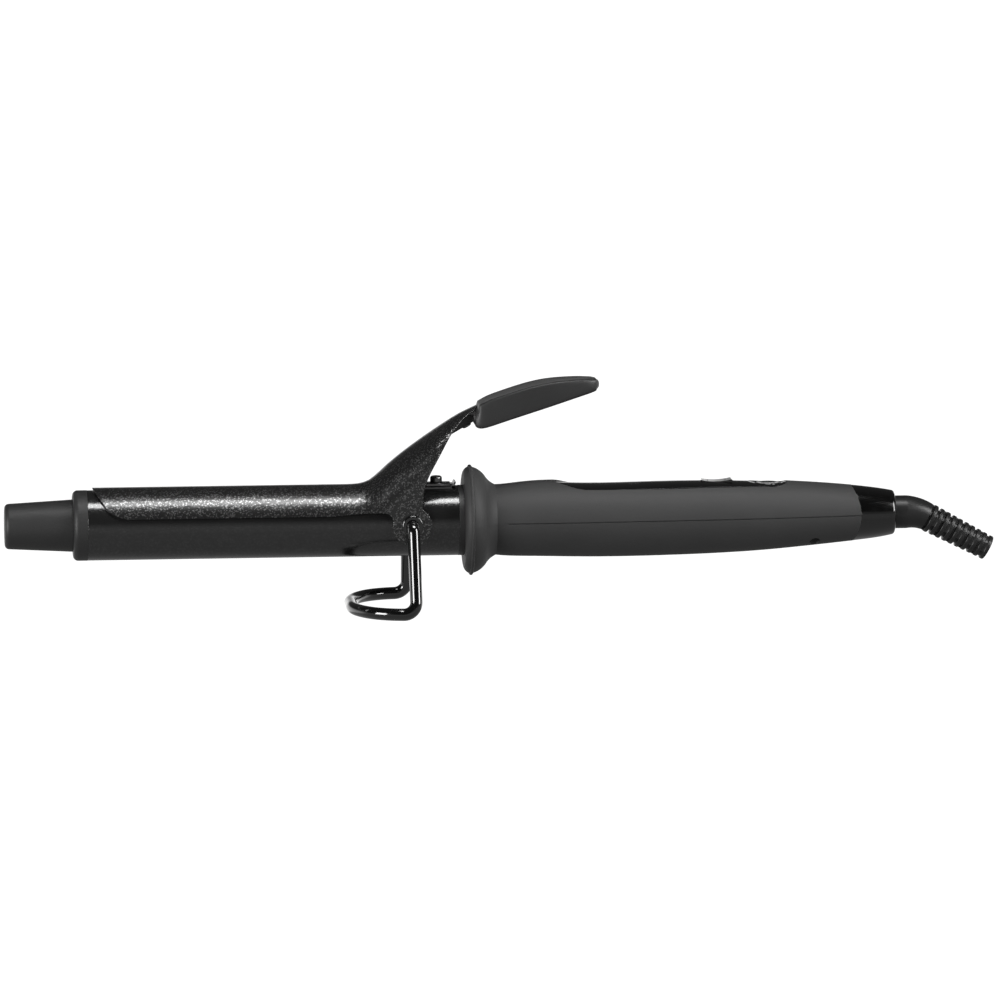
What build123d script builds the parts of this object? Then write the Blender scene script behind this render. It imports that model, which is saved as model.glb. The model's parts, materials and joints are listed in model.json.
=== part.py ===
"""Curling iron with a sprung clamp, a swinging wire stand and a swivelling cord relief.

Millimetres. The barrel lies along X with its cool tip at the origin, the handle is on the
+X side, +Z is up and the thumb lever stands above the handle. The clamp and the stand turn
about one axis, parallel to Y, through the barrel's own axis.
"""
from build123d import *
import math
import os

os.makedirs("parts", exist_ok=True)

# ---------------------------------------------------------------- driving dimensions
# Cool tip and collar
tip_length = 25.1
tip_front_radius = 8.3
tip_rear_radius = 9.65
tip_wall = 1.9
tip_edge_round = 1.7
collar_length = 5.3
collar_round = 1.9
collar_nose_length = 10.0
collar_spigot_length = 7.0

# Barrel tube and what fills it
barrel_radius = 13.0
barrel_wall = 1.2
barrel_length = 136.9
heater_length = 90.0
heater_side_gap = 4.3
heater_thickness = 3.2
spreader_skin = 2.2

# Hinge shared by the clamp and the stand, measured from the barrel's rear end
hinge_from_rear = 17.5
bush_head_radius = 3.9
bush_head_thickness = 1.2
bush_wall = 1.0
wire_radius = 2.3

# Clamp
clamp_sheet = 0.7
clamp_setback = 2.0
clamp_edge_height = 3.8
clamp_ear_radius = 7.2
lever_tongue_thickness = 1.0
lever_tongue_half_width = 3.6
leaf_thickness = 0.6

# Stand
stand_foot_splay = 8.3
stand_drop = 31.0
stand_reach = 22.0
stand_leg_clearance = 0.5

# Guard and handle
guard_overhang = 6.7
guard_ridge = 0.75
guard_disc_thickness = 3.3
guard_cone_length = 8.6
grip_radius = 14.2
grip_front_narrower = 1.15
grip_rear_narrower = 4.1
grip_length = 135.0
handle_wall = 2.2
seam_rise = 0.75
seam_start = 4.0
seam_groove_width = 0.35
seam_groove_depth = 0.4
rear_rise = 0.6
end_ring_length = 13.2
end_ring_radius = 8.05
end_joint_sag_radius = 20.5

# Rear socket of the barrel
socket_ring_length = 2.0
socket_neck_radius = 10.2
socket_bore_radius = 8.0
socket_spigot_length = 24.0

# Control panel and buttons, measured back from the grip's front
panel_half_width = 8.1
panel_rear_half_width = 6.4
panel_start = 20.0
panel_length = 88.5
panel_nose_length = 13.0
panel_depth = 4.0
panel_crown_radius = 20.0
rocker_place = 82.3
rocker_length = 11.2
rocker_width = 6.0
rocker_tilt_room = 0.45
power_place = 101.2
power_radius = 4.6
power_travel = 0.6
lens_place = 46.0
lens_length = 17.0
lens_width = 6.4

# Circuit board
board_start = 27.0
board_length = 79.0
board_width = 16.0
board_thickness = 1.2
board_drop = 5.6

# Swivel and strain relief
sleeve_wall = 0.65
relief_neck_radius = 6.1
relief_angle = 28.0
relief_bend_radius = 16.0
relief_straight = 4.5
rib_count = 10
rib_pitch = 2.6
rib_thickness = 1.6
rib_start_radius = 5.35
rib_end_radius = 4.65
relief_core_radius = 4.0
cord_radius = 3.1

# Clearances
running_clearance = 0.1
fit_clearance = 0.05
clamp_gap = 0.2
slot_clearance = 0.25

# ---------------------------------------------------------------- places worked out from them
barrel_start = tip_length + collar_length
barrel_end = barrel_start + barrel_length
barrel_bore = barrel_radius - barrel_wall
heater_width = 2 * (barrel_bore - heater_side_gap)
guard_radius = barrel_radius + guard_overhang
stand_foot_half_width = guard_radius + stand_foot_splay
hinge_x = barrel_end - hinge_from_rear
guard_start = barrel_end + socket_ring_length
guard_cone_start = guard_start + guard_disc_thickness
grip_start = guard_cone_start + guard_cone_length
grip_end = grip_start + grip_length
handle_end = grip_end + end_ring_length
grip_front_radius = grip_radius - grip_front_narrower
grip_rear_radius = grip_radius - grip_rear_narrower
panel_floor = grip_radius - panel_depth
board_height = panel_floor - board_drop
sleeve_radius = grip_rear_radius - handle_wall - 0.15
swivel_disc_radius = sleeve_radius - sleeve_wall - running_clearance
rear_axis = Axis((grip_end, 0, rear_rise), (1, 0, 0))


def across(x):
    """The plane across the barrel's axis at x, its own x along Y and its own y along Z."""
    return Plane.YZ.offset(x)


def facing_rear(x, y, z):
    """A plane through a point off the barrel's axis, its own x along Y and its own y along Z."""
    return Plane(origin=(x, y, z), x_dir=(0, 1, 0), z_dir=(1, 0, 0))


def screw(plane, head_radius, head_height, shank_radius, shank_length):
    """A pan-head screw: head on the plane's front, shank behind it, cross slot in the head."""
    slot_width = 0.28 * head_radius
    with BuildPart() as made:
        with BuildSketch(plane):
            Circle(head_radius)
        extrude(amount=head_height)
        fillet(made.faces().sort_by(Axis(plane.origin, plane.z_dir))[-1].edges(), 0.4 * head_height)
        with BuildSketch(plane):
            Circle(shank_radius)
        extrude(amount=-shank_length)
        with BuildSketch(plane.offset(head_height)):
            Rectangle(1.2 * head_radius, slot_width)
            Rectangle(slot_width, 1.2 * head_radius)
        extrude(amount=-0.5 * head_height, mode=Mode.SUBTRACT)
    return made.part


def wire_run(points, radii, radius):
    """A round wire along straight runs joined by tangent arcs."""
    with BuildPart() as made:
        with BuildLine() as route:
            FilletPolyline(*points, radius=radii)
        with BuildSketch(Plane(route.line @ 0, z_dir=route.line % 0)):
            Circle(radius)
        sweep(path=route.line)
    return made.part


# ================================================================ cool tip
# Closed nose cone that stays cool enough to hold; it plugs onto the collar's nose.
nose_radius = tip_front_radius - tip_wall
with BuildPart() as cool_tip:
    with BuildSketch(Plane.XY):
        with BuildLine():
            Polyline(
                (0, 0),
                (0, tip_front_radius),
                (tip_length, tip_rear_radius),
                (tip_length, nose_radius),
                (1.4 * tip_wall, nose_radius - 0.4),
                (1.4 * tip_wall, 0),
                close=True,
            )
        make_face()
    revolve(axis=Axis.X)
    fillet(cool_tip.edges().filter_by(GeomType.CIRCLE).sort_by(Axis.X)[0], tip_edge_round)
cool_tip.part.label = "cool_tip"
export_step(cool_tip.part, "parts/cool_tip.step")

# Insulating collar between the tip and the hot barrel: a nose in the tip, a ring flush with
# the barrel and a spigot inside it, with a counterbore for the screw's head.
tip_screw_head = 4.0
tip_screw_radius = 2.0
screw_seat = tip_length + 1.0
nose_fit = nose_radius - running_clearance
spigot_radius = barrel_bore - fit_clearance
with BuildPart() as tip_collar:
    with BuildSketch(Plane.XY):
        with BuildLine():
            Polyline(
                (tip_length - collar_nose_length, tip_screw_head + 0.3),
                (tip_length - collar_nose_length, nose_fit - 0.4),
                (tip_length, nose_fit),
                (tip_length, barrel_radius),
                (barrel_start, barrel_radius),
                (barrel_start, spigot_radius),
                (barrel_start + collar_spigot_length, spigot_radius),
                (barrel_start + collar_spigot_length, tip_screw_radius + 0.15),
                (screw_seat, tip_screw_radius + 0.15),
                (screw_seat, tip_screw_head + 0.3),
                close=True,
            )
        make_face()
    revolve(axis=Axis.X)
    shoulder = tip_collar.edges().filter_by(GeomType.CIRCLE).filter_by_position(
        Axis.X, tip_length - 0.01, tip_length + 0.01
    )
    fillet(shoulder.sort_by(SortBy.RADIUS)[-1], collar_round)
tip_collar.part.label = "tip_collar"
export_step(tip_collar.part, "parts/tip_collar.step")

# Metal cap crimped inside the barrel's front end, with the thread for the tip screw.
cap_start = barrel_start + collar_spigot_length
cap_plate = 1.6
cap_skirt = 6.0
cap_boss = 3.6
with BuildPart() as barrel_end_cap:
    with BuildSketch(Plane.XY):
        with BuildLine():
            Polyline(
                (cap_start, tip_screw_radius),
                (cap_start, spigot_radius),
                (cap_start + cap_skirt, spigot_radius),
                (cap_start + cap_skirt, spigot_radius - 1.0),
                (cap_start + cap_plate, spigot_radius - 1.0),
                (cap_start + cap_plate, cap_boss),
                (cap_start + cap_skirt - 1.0, cap_boss),
                (cap_start + cap_skirt - 1.0, tip_screw_radius),
                close=True,
            )
        make_face()
    revolve(axis=Axis.X)
barrel_end_cap.part.label = "barrel_end_cap"
export_step(barrel_end_cap.part, "parts/barrel_end_cap.step")

tip_screw_body = screw(
    Plane(origin=(screw_seat, 0, 0), z_dir=(-1, 0, 0)),
    tip_screw_head,
    2.4,
    tip_screw_radius,
    cap_start + cap_skirt - screw_seat,
)
with BuildPart() as tip_screw:
    add(tip_screw_body)
tip_screw.part.label = "tip_screw"
export_step(tip_screw.part, "parts/tip_screw.step")

# ================================================================ barrel
bush_bore = wire_radius + running_clearance
bush_radius = bush_bore + bush_wall
spring_screw_x = hinge_x + 9.6
spring_screw_radius = 1.5
with BuildPart() as barrel_tube:
    with BuildSketch(across(barrel_start)):
        Circle(barrel_radius)
        Circle(barrel_bore, mode=Mode.SUBTRACT)
    extrude(amount=barrel_length)
    with BuildSketch(Plane.XZ):
        with Locations((hinge_x, 0)):
            Circle(bush_radius + fit_clearance)
    extrude(amount=barrel_radius, both=True, mode=Mode.SUBTRACT)
    with BuildSketch(Plane.XY):
        with Locations((spring_screw_x, 0)):
            Circle(spring_screw_radius + fit_clearance)
    extrude(amount=barrel_radius, mode=Mode.SUBTRACT)
barrel_tube.part.label = "barrel_tube"
export_step(barrel_tube.part, "parts/barrel_tube.step")

# Ceramic heating plate, edge to edge between the two spreaders.
heater_start = cap_start + cap_skirt + 3.0
heater_end = heater_start + heater_length
with BuildPart() as heater_plate:
    with BuildSketch(across(heater_start)):
        Rectangle(heater_width, heater_thickness)
    extrude(amount=heater_length)
    fillet(heater_plate.edges().filter_by(Axis.X), 0.5)
heater_plate.part.label = "heater_plate"
export_step(heater_plate.part, "parts/heater_plate.step")

# Aluminium heat spreaders: a half-round skin against the tube, a flat on the heater and a
# web between them. The upper one carries a groove for the temperature sensor.
spreader_radius = barrel_bore - running_clearance
spreader_flat = 0.5 * heater_thickness + fit_clearance
web_thickness = 3.0
sensor_radius = 1.1
sensor_length = 8.0
sensor_y = 0.25 * heater_width
sensor_z = spreader_flat + spreader_skin + sensor_radius + fit_clearance
with BuildPart() as heat_spreader_upper:
    with BuildSketch(across(heater_start)):
        Circle(spreader_radius)
        with Locations((0, spreader_flat - spreader_radius)):
            Rectangle(2 * spreader_radius, 2 * spreader_radius, mode=Mode.SUBTRACT)
        with BuildSketch(mode=Mode.SUBTRACT):
            Circle(spreader_radius - spreader_skin)
            with Locations((0, spreader_flat + spreader_skin - spreader_radius)):
                Rectangle(2 * spreader_radius, 2 * spreader_radius, mode=Mode.SUBTRACT)
            Rectangle(web_thickness, 2 * spreader_radius, mode=Mode.SUBTRACT)
    extrude(amount=heater_length)
heat_spreader_upper.part.label = "heat_spreader_upper"
export_step(heat_spreader_upper.part, "parts/heat_spreader_upper.step")

with BuildPart() as heat_spreader_lower:
    add(heat_spreader_upper.part)
    mirror(about=Plane.XY, mode=Mode.REPLACE)
heat_spreader_lower.part.label = "heat_spreader_lower"
export_step(heat_spreader_lower.part, "parts/heat_spreader_lower.step")

# Bent steel strips beside the heater press the two spreaders against the tube.
spring_strip_y = 0.5 * heater_width + 1.6
with BuildPart() as spreader_springs:
    for side in (-1, 1):
        with BuildSketch(across(heater_start + 10)):
            with Locations((side * spring_strip_y, 0)):
                Rectangle(1.6, 2 * spreader_flat)
                with Locations((0.4 * side, 0)):
                    Rectangle(1.6, 2 * spreader_flat - 0.8, mode=Mode.SUBTRACT)
        extrude(amount=heater_length - 20)
spreader_springs.part.label = "spreader_springs"
export_step(spreader_springs.part, "parts/spreader_springs.step")

# Glass-bead temperature sensor lying on the upper spreader's flat.
sensor_start = heater_end - 2 * sensor_length
with BuildPart() as thermistor:
    with BuildSketch(facing_rear(sensor_start, sensor_y, sensor_z)):
        Circle(sensor_radius)
    extrude(amount=sensor_length)
    fillet(thermistor.edges().filter_by(GeomType.CIRCLE), 0.6)
thermistor.part.label = "thermistor"
export_step(thermistor.part, "parts/thermistor.step")

# One-shot thermal fuse in the line of the live lead, behind the heater.
fuse_radius = 1.9
fuse_length = 10.0
lead_y = 3.2
lead_radius = 0.9
fuse_start = heater_end + 9.0
with BuildPart() as thermal_fuse:
    with BuildSketch(facing_rear(fuse_start, lead_y, 0)):
        Circle(fuse_radius)
    extrude(amount=fuse_length)
    chamfer(thermal_fuse.edges().filter_by(GeomType.CIRCLE).sort_by(Axis.X)[-1], 0.9)
thermal_fuse.part.label = "thermal_fuse"
export_step(thermal_fuse.part, "parts/thermal_fuse.step")

# ================================================================ rear socket and guard
# Insulating socket: a spigot inside the tube, a ring flush with it, and a neck held by the
# handle. The bushes and the spring's screw go through the spigot.
socket_spigot_radius = barrel_bore - fit_clearance
socket_bore = socket_bore_radius
lock_rib_radius = socket_neck_radius + 0.5
lock_rib_start = grip_start + 1.0
lock_rib_length = 2.0
socket_end = lock_rib_start + lock_rib_length + 9.0
with BuildPart() as barrel_socket:
    with BuildSketch(Plane.XY):
        with BuildLine():
            Polyline(
                (barrel_end - socket_spigot_length, socket_bore),
                (barrel_end - socket_spigot_length, socket_spigot_radius),
                (barrel_end, socket_spigot_radius),
                (barrel_end, barrel_radius),
                (guard_start, barrel_radius),
                (guard_start, socket_neck_radius),
                (lock_rib_start, socket_neck_radius),
                (lock_rib_start, lock_rib_radius),
                (lock_rib_start + lock_rib_length, lock_rib_radius),
                (lock_rib_start + lock_rib_length, socket_neck_radius - 0.4),
                (socket_end, socket_neck_radius - 0.4),
                (socket_end, socket_bore),
                close=True,
            )
        make_face()
    revolve(axis=Axis.X)
    with BuildSketch(Plane.XZ):
        with Locations((hinge_x, 0)):
            Circle(bush_radius + fit_clearance)
    extrude(amount=barrel_radius, both=True, mode=Mode.SUBTRACT)
    with BuildSketch(Plane.XY):
        with Locations((spring_screw_x, 0)):
            Circle(spring_screw_radius)
    extrude(amount=barrel_radius, mode=Mode.SUBTRACT)
barrel_socket.part.label = "barrel_socket"
export_step(barrel_socket.part, "parts/barrel_socket.step")

# Guard disc: a flat front with a rounded rim and a raised ridge where it meets the handle.
with BuildPart() as guard_disc:
    with BuildSketch(Plane.XY):
        with BuildLine():
            Line((guard_start, socket_neck_radius + fit_clearance), (guard_start, guard_radius - 3.0))
            ThreePointArc(
                (guard_start, guard_radius - 3.0),
                (guard_start + 0.75, guard_radius - 0.85),
                (guard_cone_start - 1.3, guard_radius),
            )
            ThreePointArc(
                (guard_cone_start - 1.3, guard_radius),
                (guard_cone_start - 0.65, guard_radius + guard_ridge),
                (guard_cone_start, guard_radius),
            )
            Polyline(
                (guard_cone_start, guard_radius),
                (guard_cone_start, socket_neck_radius + fit_clearance),
                (guard_start, socket_neck_radius + fit_clearance),
            )
        make_face()
    revolve(axis=Axis.X)
guard_disc.part.label = "guard_disc"
export_step(guard_disc.part, "parts/guard_disc.step")

# ================================================================ handle body
# Round sections along the grip: distance from its front, radius, and rise of the centre.
# The first ones shape the finger swell, the last ones the taper to the cord end.
swell = [
    (0.0, grip_front_radius, 0.0),
    (8.5, grip_radius - 0.5, 0.1),
    (17.0, grip_radius - 0.1, 0.3),
]
middle = [(32.5, grip_radius, 0.0), (58.0, grip_radius - 0.05, -0.05)]
taper = [
    (grip_length - 54.0, grip_radius - 0.45, 0.1),
    (grip_length - 36.0, grip_radius - 1.15, 0.3),
    (grip_length - 18.0, grip_radius - 2.4, 0.55),
    (grip_length, grip_rear_radius, rear_rise),
    (grip_length + end_ring_length, end_ring_radius, rear_rise),
]
grip_sections = swell + middle + taper


def grip_body(inset):
    """The grip and end ring as one tapered solid, its surface moved inwards by inset."""
    with BuildPart() as made:
        for place, radius, rise in grip_sections:
            with BuildSketch(across(grip_start + place)):
                with Locations((0, rise)):
                    Circle(radius - inset)
        loft()
    return made.part


grip_solid = grip_body(0)
grip_hollow = grip_body(handle_wall)
seam_core = grip_body(seam_groove_depth)
with BuildPart() as handle_blank:
    add(grip_solid)
    with BuildSketch(Plane.XY):
        with BuildLine():
            Line((guard_cone_start, 0), (guard_cone_start, guard_radius))
            ThreePointArc(
                (guard_cone_start, guard_radius),
                (guard_cone_start + 2.7, guard_radius - 1.25),
                (guard_cone_start + 4.7, guard_radius - 3.2),
            )
            ThreePointArc(
                (guard_cone_start + 4.7, guard_radius - 3.2),
                (guard_cone_start + 6.4, 0.42 * guard_radius + 0.58 * grip_front_radius - 1.4),
                (grip_start, grip_front_radius),
            )
            Polyline((grip_start, grip_front_radius), (grip_start, 0), (guard_cone_start, 0))
        make_face()
    revolve(axis=Axis.X)

# Everything in front of the curved joint with the end ring.
with BuildPart() as joint_region:
    with BuildSketch(Plane.XZ):
        with Locations((grip_end - end_joint_sag_radius, rear_rise)):
            Circle(end_joint_sag_radius)
        with Locations((0.5 * (grip_end - end_joint_sag_radius), 0)):
            Rectangle(grip_end - end_joint_sag_radius, 4 * guard_radius)
    extrude(amount=2 * guard_radius, both=True)

# Screw posts: one ahead of the board and two beside the swivel's pin, each from the
# underside to the roof.
post_radius = 3.2
rear_post_radius = 2.4
screw_seat_depth = 2.6
front_post = (grip_start + 18.5, 0)
rear_posts = [(grip_end - 17.0, -6.3), (grip_end - 17.0, 6.3)]
with BuildPart() as posts:
    with BuildSketch(Plane.XY.offset(-2 * grip_radius)):
        with Locations(front_post):
            Circle(post_radius)
        with Locations(rear_posts):
            Circle(rear_post_radius)
    extrude(amount=4 * grip_radius)
    add(handle_blank.part, mode=Mode.INTERSECT)

# Shell before it is parted: wall, posts, the bore that holds the socket's neck, and a
# bulkhead with a hole for the swivel's pin.
pin_radius = 3.0
bulkhead_start = grip_end - 10.0
bulkhead_thickness = 2.0
with BuildPart() as handle_shell:
    add(handle_blank.part)
    add(grip_hollow, mode=Mode.SUBTRACT)
    add(posts.part)
    with BuildSketch(across(bulkhead_start)):
        with Locations((0, rear_rise)):
            Circle(grip_radius - 4.0)
            Circle(pin_radius + running_clearance, mode=Mode.SUBTRACT)
    extrude(amount=bulkhead_thickness)
    with BuildSketch(across(guard_cone_start)):
        Circle(socket_neck_radius + fit_clearance)
    extrude(amount=guard_cone_length, mode=Mode.SUBTRACT)
    add(joint_region.part, mode=Mode.INTERSECT)

# The two halves part on a plane that climbs a little towards the rear.
seam_plane = Plane(
    origin=(grip_start, 0, 0),
    x_dir=(grip_length, 0, seam_rise),
    z_dir=(-seam_rise, 0, grip_length),
)

# A fine groove runs along the parting line, as it is moulded into both halves.
with BuildPart() as seam_groove:
    with BuildSketch(seam_plane):
        with Locations((seam_start + grip_length, 0)):
            Rectangle(2 * grip_length, 4 * grip_radius)
    extrude(amount=0.5 * seam_groove_width, both=True)
    add(seam_core, mode=Mode.SUBTRACT)

# ---------------------------------------------------------------- control panel outline
panel_x = grip_start + panel_start
panel_rear = panel_x + panel_length
rocker_x = grip_start + rocker_place
power_x = grip_start + power_place
lens_x = grip_start + lens_place
panel_shoulder = panel_x + panel_nose_length
panel_waist = panel_x + 45.0


def panel_outline(grow):
    """Plan of the control panel: a pointed nose, straight sides, a taper and a round tail."""
    wide = panel_half_width + grow
    narrow = panel_rear_half_width + grow
    nose = panel_x - grow
    tail_x = panel_rear - panel_rear_half_width
    with BuildSketch(Plane.XY) as made:
        with BuildLine():
            side = [
                ThreePointArc(
                    (nose, 0),
                    (nose + 0.38 * panel_nose_length, 0.64 * wide),
                    (panel_shoulder, wide),
                ),
                Polyline((panel_shoulder, wide), (panel_waist, wide), (tail_x, narrow)),
            ]
            mirror(side, about=Plane.XZ)
            ThreePointArc((tail_x, narrow), (panel_rear + grow, 0), (tail_x, -narrow))
        make_face()
    return made.sketch


panel_face = panel_outline(0)
panel_pocket_face = panel_outline(fit_clearance)

# Height of the panel's crown along its length, from the nose back.
panel_crown = [
    (-2.0, grip_radius - 0.2),
    (13.0, grip_radius - 1.0),
    (44.0, grip_radius - 0.75),
    (65.0, grip_radius - 0.9),
    (panel_length + 2.0, grip_radius - 1.8),
]
power_flange = power_radius + 0.8
power_flange_thickness = 0.8

with BuildPart() as handle_upper:
    add(handle_shell.part)
    split(bisect_by=seam_plane, keep=Keep.TOP)
    add(seam_groove.part, mode=Mode.SUBTRACT)
    pocket_face = panel_pocket_face.moved(Location((0, 0, panel_floor)))
    extrude(pocket_face, amount=grip_radius, mode=Mode.SUBTRACT)
    with BuildSketch(Plane.XY.offset(0.6 * panel_floor)):
        with Locations((power_x, 0)):
            Circle(power_flange + slot_clearance)
    extrude(amount=grip_radius, mode=Mode.SUBTRACT)
    with BuildSketch(Plane.XY):
        with Locations(front_post):
            Circle(1.2)
        with Locations(rear_posts):
            Circle(1.0)
    extrude(amount=8.0, mode=Mode.SUBTRACT)
handle_upper.part.label = "handle_upper"
export_step(handle_upper.part, "parts/handle_upper.step")

# Seats for the screws' heads, as depths below the barrel's axis.
front_seat = grip_radius - handle_wall - screw_seat_depth
rear_seat = grip_radius - 9.0
board_x = grip_start + board_start
board_end = board_x + board_length
board_top = board_height + board_thickness
board_post_radius = 1.3
board_post_y = 6.6
board_posts = [
    (board_x + 6.0, -board_post_y),
    (board_x + 6.0, board_post_y),
    (board_end - 6.0, -board_post_y),
    (board_end - 6.0, board_post_y),
]
with BuildPart() as board_supports:
    with BuildSketch(Plane.XY.offset(board_height - fit_clearance)):
        with Locations(board_posts):
            Circle(board_post_radius)
    extrude(amount=-2 * grip_radius)
    add(handle_blank.part, mode=Mode.INTERSECT)

with BuildPart() as handle_lower:
    add(handle_shell.part)
    split(bisect_by=seam_plane, keep=Keep.BOTTOM)
    add(seam_groove.part, mode=Mode.SUBTRACT)
    add(board_supports.part)
    with BuildSketch(Plane.XY.offset(-front_seat)):
        with Locations(front_post):
            Circle(2.5)
    extrude(amount=-grip_radius, mode=Mode.SUBTRACT)
    with BuildSketch(Plane.XY.offset(-rear_seat)):
        with Locations(rear_posts):
            Circle(2.1)
    extrude(amount=-grip_radius, mode=Mode.SUBTRACT)
    with BuildSketch(Plane.XY.offset(3.0)):
        with Locations(front_post):
            Circle(1.4)
        with Locations(rear_posts):
            Circle(1.2)
    extrude(amount=-grip_radius, mode=Mode.SUBTRACT)
handle_lower.part.label = "handle_lower"
export_step(handle_lower.part, "parts/handle_lower.step")

front_screw = screw(
    Plane(origin=(*front_post, -front_seat), z_dir=(0, 0, -1)),
    2.3,
    1.5,
    1.15,
    front_seat + 6.0,
)
rear_screws = [
    screw(Plane(origin=(x, y, -rear_seat), z_dir=(0, 0, -1)), 1.95, 1.3, 0.95, rear_seat + 5.0)
    for x, y in rear_posts
]
with BuildPart() as handle_screws:
    add(front_screw)
    add(rear_screws)
handle_screws.part.label = "handle_screws"
export_step(handle_screws.part, "parts/handle_screws.step")

# ================================================================ end ring
# Glossy ring that closes the handle: its sleeve holds the halves together and its shoulder
# keeps the swivel's disc in.
sleeve_bore = swivel_disc_radius + running_clearance
disc_start = grip_end + 1.0
disc_thickness = 3.9
shoulder_x = disc_start + disc_thickness + running_clearance
neck_bore = relief_neck_radius + running_clearance
with BuildPart() as end_ring:
    add(handle_blank.part)
    add(joint_region.part, mode=Mode.SUBTRACT)
    fillet(end_ring.faces().sort_by(Axis.X)[-1].edges(), 1.3)
    with BuildSketch(across(bulkhead_start + bulkhead_thickness + 0.5)):
        with Locations((0, rear_rise)):
            Circle(sleeve_radius)
    extrude(until=Until.NEXT)
    with BuildSketch(across(bulkhead_start)):
        with Locations((0, rear_rise)):
            Circle(sleeve_bore)
    extrude(amount=shoulder_x - bulkhead_start, mode=Mode.SUBTRACT)
    with BuildSketch(across(bulkhead_start)):
        with Locations((0, rear_rise)):
            Circle(neck_bore)
    extrude(amount=handle_end - bulkhead_start + 5, mode=Mode.SUBTRACT)
end_ring.part.label = "end_ring"
export_step(end_ring.part, "parts/end_ring.step")

# ================================================================ control panel and buttons
with BuildPart() as panel_blank:
    for place, top in panel_crown:
        half = panel_half_width + 2
        drop = panel_crown_radius - math.sqrt(panel_crown_radius**2 - half**2)
        with BuildSketch(across(panel_x + place)):
            with BuildLine():
                ThreePointArc((-half, top - drop), (0, top), (half, top - drop))
                Polyline(
                    (half, top - drop),
                    (half, 0.5 * panel_floor),
                    (-half, 0.5 * panel_floor),
                    (-half, top - drop),
                )
            make_face()
    loft()

rocker_pin_radius = 0.8
rocker_pin_height = panel_floor - 1.2
lug_thickness = 1.2
dish_radius = power_radius + 1.5
dish_depth = 0.8
dish_sphere = (dish_radius**2 + dish_depth**2) / (2 * dish_depth)
dish_rim = grip_radius - 1.58
dish_centre = (power_x, 0, dish_rim + dish_sphere - dish_depth)
lug_y = 0.5 * rocker_width + slot_clearance + 0.5 * lug_thickness
with BuildPart() as control_panel:
    add(panel_blank.part)
    extrude(panel_face.moved(Location((0, 0, panel_floor))), amount=grip_radius, mode=Mode.INTERSECT)
    with Locations(dish_centre):
        Sphere(dish_sphere, mode=Mode.SUBTRACT)
    for side in (-1, 1):
        with BuildSketch(Plane.XZ.offset(side * lug_y - 0.5 * lug_thickness)):
            with Locations((rocker_x, rocker_pin_height)):
                Rectangle(3.6, 2 * (panel_floor + 0.3 - rocker_pin_height))
                Circle(rocker_pin_radius + running_clearance, mode=Mode.SUBTRACT)
        extrude(amount=lug_thickness)
    with BuildSketch(Plane.XY.offset(panel_floor - 0.01)):
        with Locations((rocker_x, 0)):
            Rectangle(rocker_length + 2 * rocker_tilt_room, rocker_width + 2 * slot_clearance)
        with Locations((power_x, 0)):
            Circle(power_radius + slot_clearance)
        with Locations((lens_x, 0)):
            SlotOverall(lens_length, lens_width)
    extrude(amount=grip_radius, mode=Mode.SUBTRACT)
control_panel.part.label = "control_panel"
export_step(control_panel.part, "parts/control_panel.step")

with BuildPart() as display_lens:
    add(panel_blank.part)
    with BuildSketch(Plane.XY.offset(panel_floor)):
        with Locations((lens_x, 0)):
            SlotOverall(lens_length - 2 * fit_clearance, lens_width - 2 * fit_clearance)
    extrude(amount=grip_radius, mode=Mode.INTERSECT)
display_lens.part.label = "display_lens"
export_step(display_lens.part, "parts/display_lens.step")

# Rocker with raised ends and a hollowed top, on pins below the panel.
power_flange_top = panel_floor - running_clearance
switch_top = power_flange_top - power_flange_thickness - power_travel - running_clearance
rocker_bottom = switch_top + 0.45
rocker_half = 0.5 * rocker_length
rocker_front_top = grip_radius - 0.35
rocker_middle_top = grip_radius - 0.8
rocker_rear_top = grip_radius
with BuildPart() as temp_rocker:
    with BuildSketch(Plane.XZ) as rocker_side:
        with BuildLine():
            ThreePointArc(
                (rocker_x - rocker_half, rocker_front_top),
                (rocker_x, rocker_middle_top),
                (rocker_x + rocker_half, rocker_rear_top),
            )
            Polyline(
                (rocker_x + rocker_half, rocker_rear_top),
                (rocker_x + rocker_half, rocker_bottom),
                (rocker_x - rocker_half, rocker_bottom),
                (rocker_x - rocker_half, rocker_front_top),
            )
        make_face()
        fillet(rocker_side.vertices().group_by(Axis.Y)[-1], 0.5)
    extrude(amount=0.5 * rocker_width, both=True)
    with BuildSketch(Plane.XZ):
        with Locations((rocker_x, rocker_pin_height)):
            Circle(rocker_pin_radius)
    extrude(amount=lug_y + 0.5 * lug_thickness, both=True)
temp_rocker.part.label = "temp_rocker"
export_step(temp_rocker.part, "parts/temp_rocker.step")

# Round power button with a hollowed top and a retaining flange under the panel.
power_height = 2.35
power_hollow = 0.75 * dish_sphere
with BuildPart() as power_button:
    with BuildSketch(Plane.XY.offset(power_flange_top - power_flange_thickness)):
        with Locations((power_x, 0)):
            Circle(power_flange)
    extrude(amount=power_flange_thickness)
    with BuildSketch(Plane.XY.offset(power_flange_top)):
        with Locations((power_x, 0)):
            Circle(power_radius)
    extrude(amount=power_height)
    fillet(power_button.faces().sort_by(Axis.Z)[-1].edges(), 0.5)
    with Locations((power_x, 0, power_flange_top + power_height + power_hollow - 0.35)):
        Sphere(power_hollow, mode=Mode.SUBTRACT)
power_button.part.label = "power_button"
export_step(power_button.part, "parts/power_button.step")

# ================================================================ circuit board
with BuildPart() as circuit_board:
    with BuildSketch(Plane.XY.offset(board_height)):
        with Locations((board_x + 0.5 * board_length, 0)):
            RectangleRounded(board_length, board_width, 1.0)
    extrude(amount=board_thickness)
circuit_board.part.label = "circuit_board"
export_step(circuit_board.part, "parts/circuit_board.step")

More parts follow.
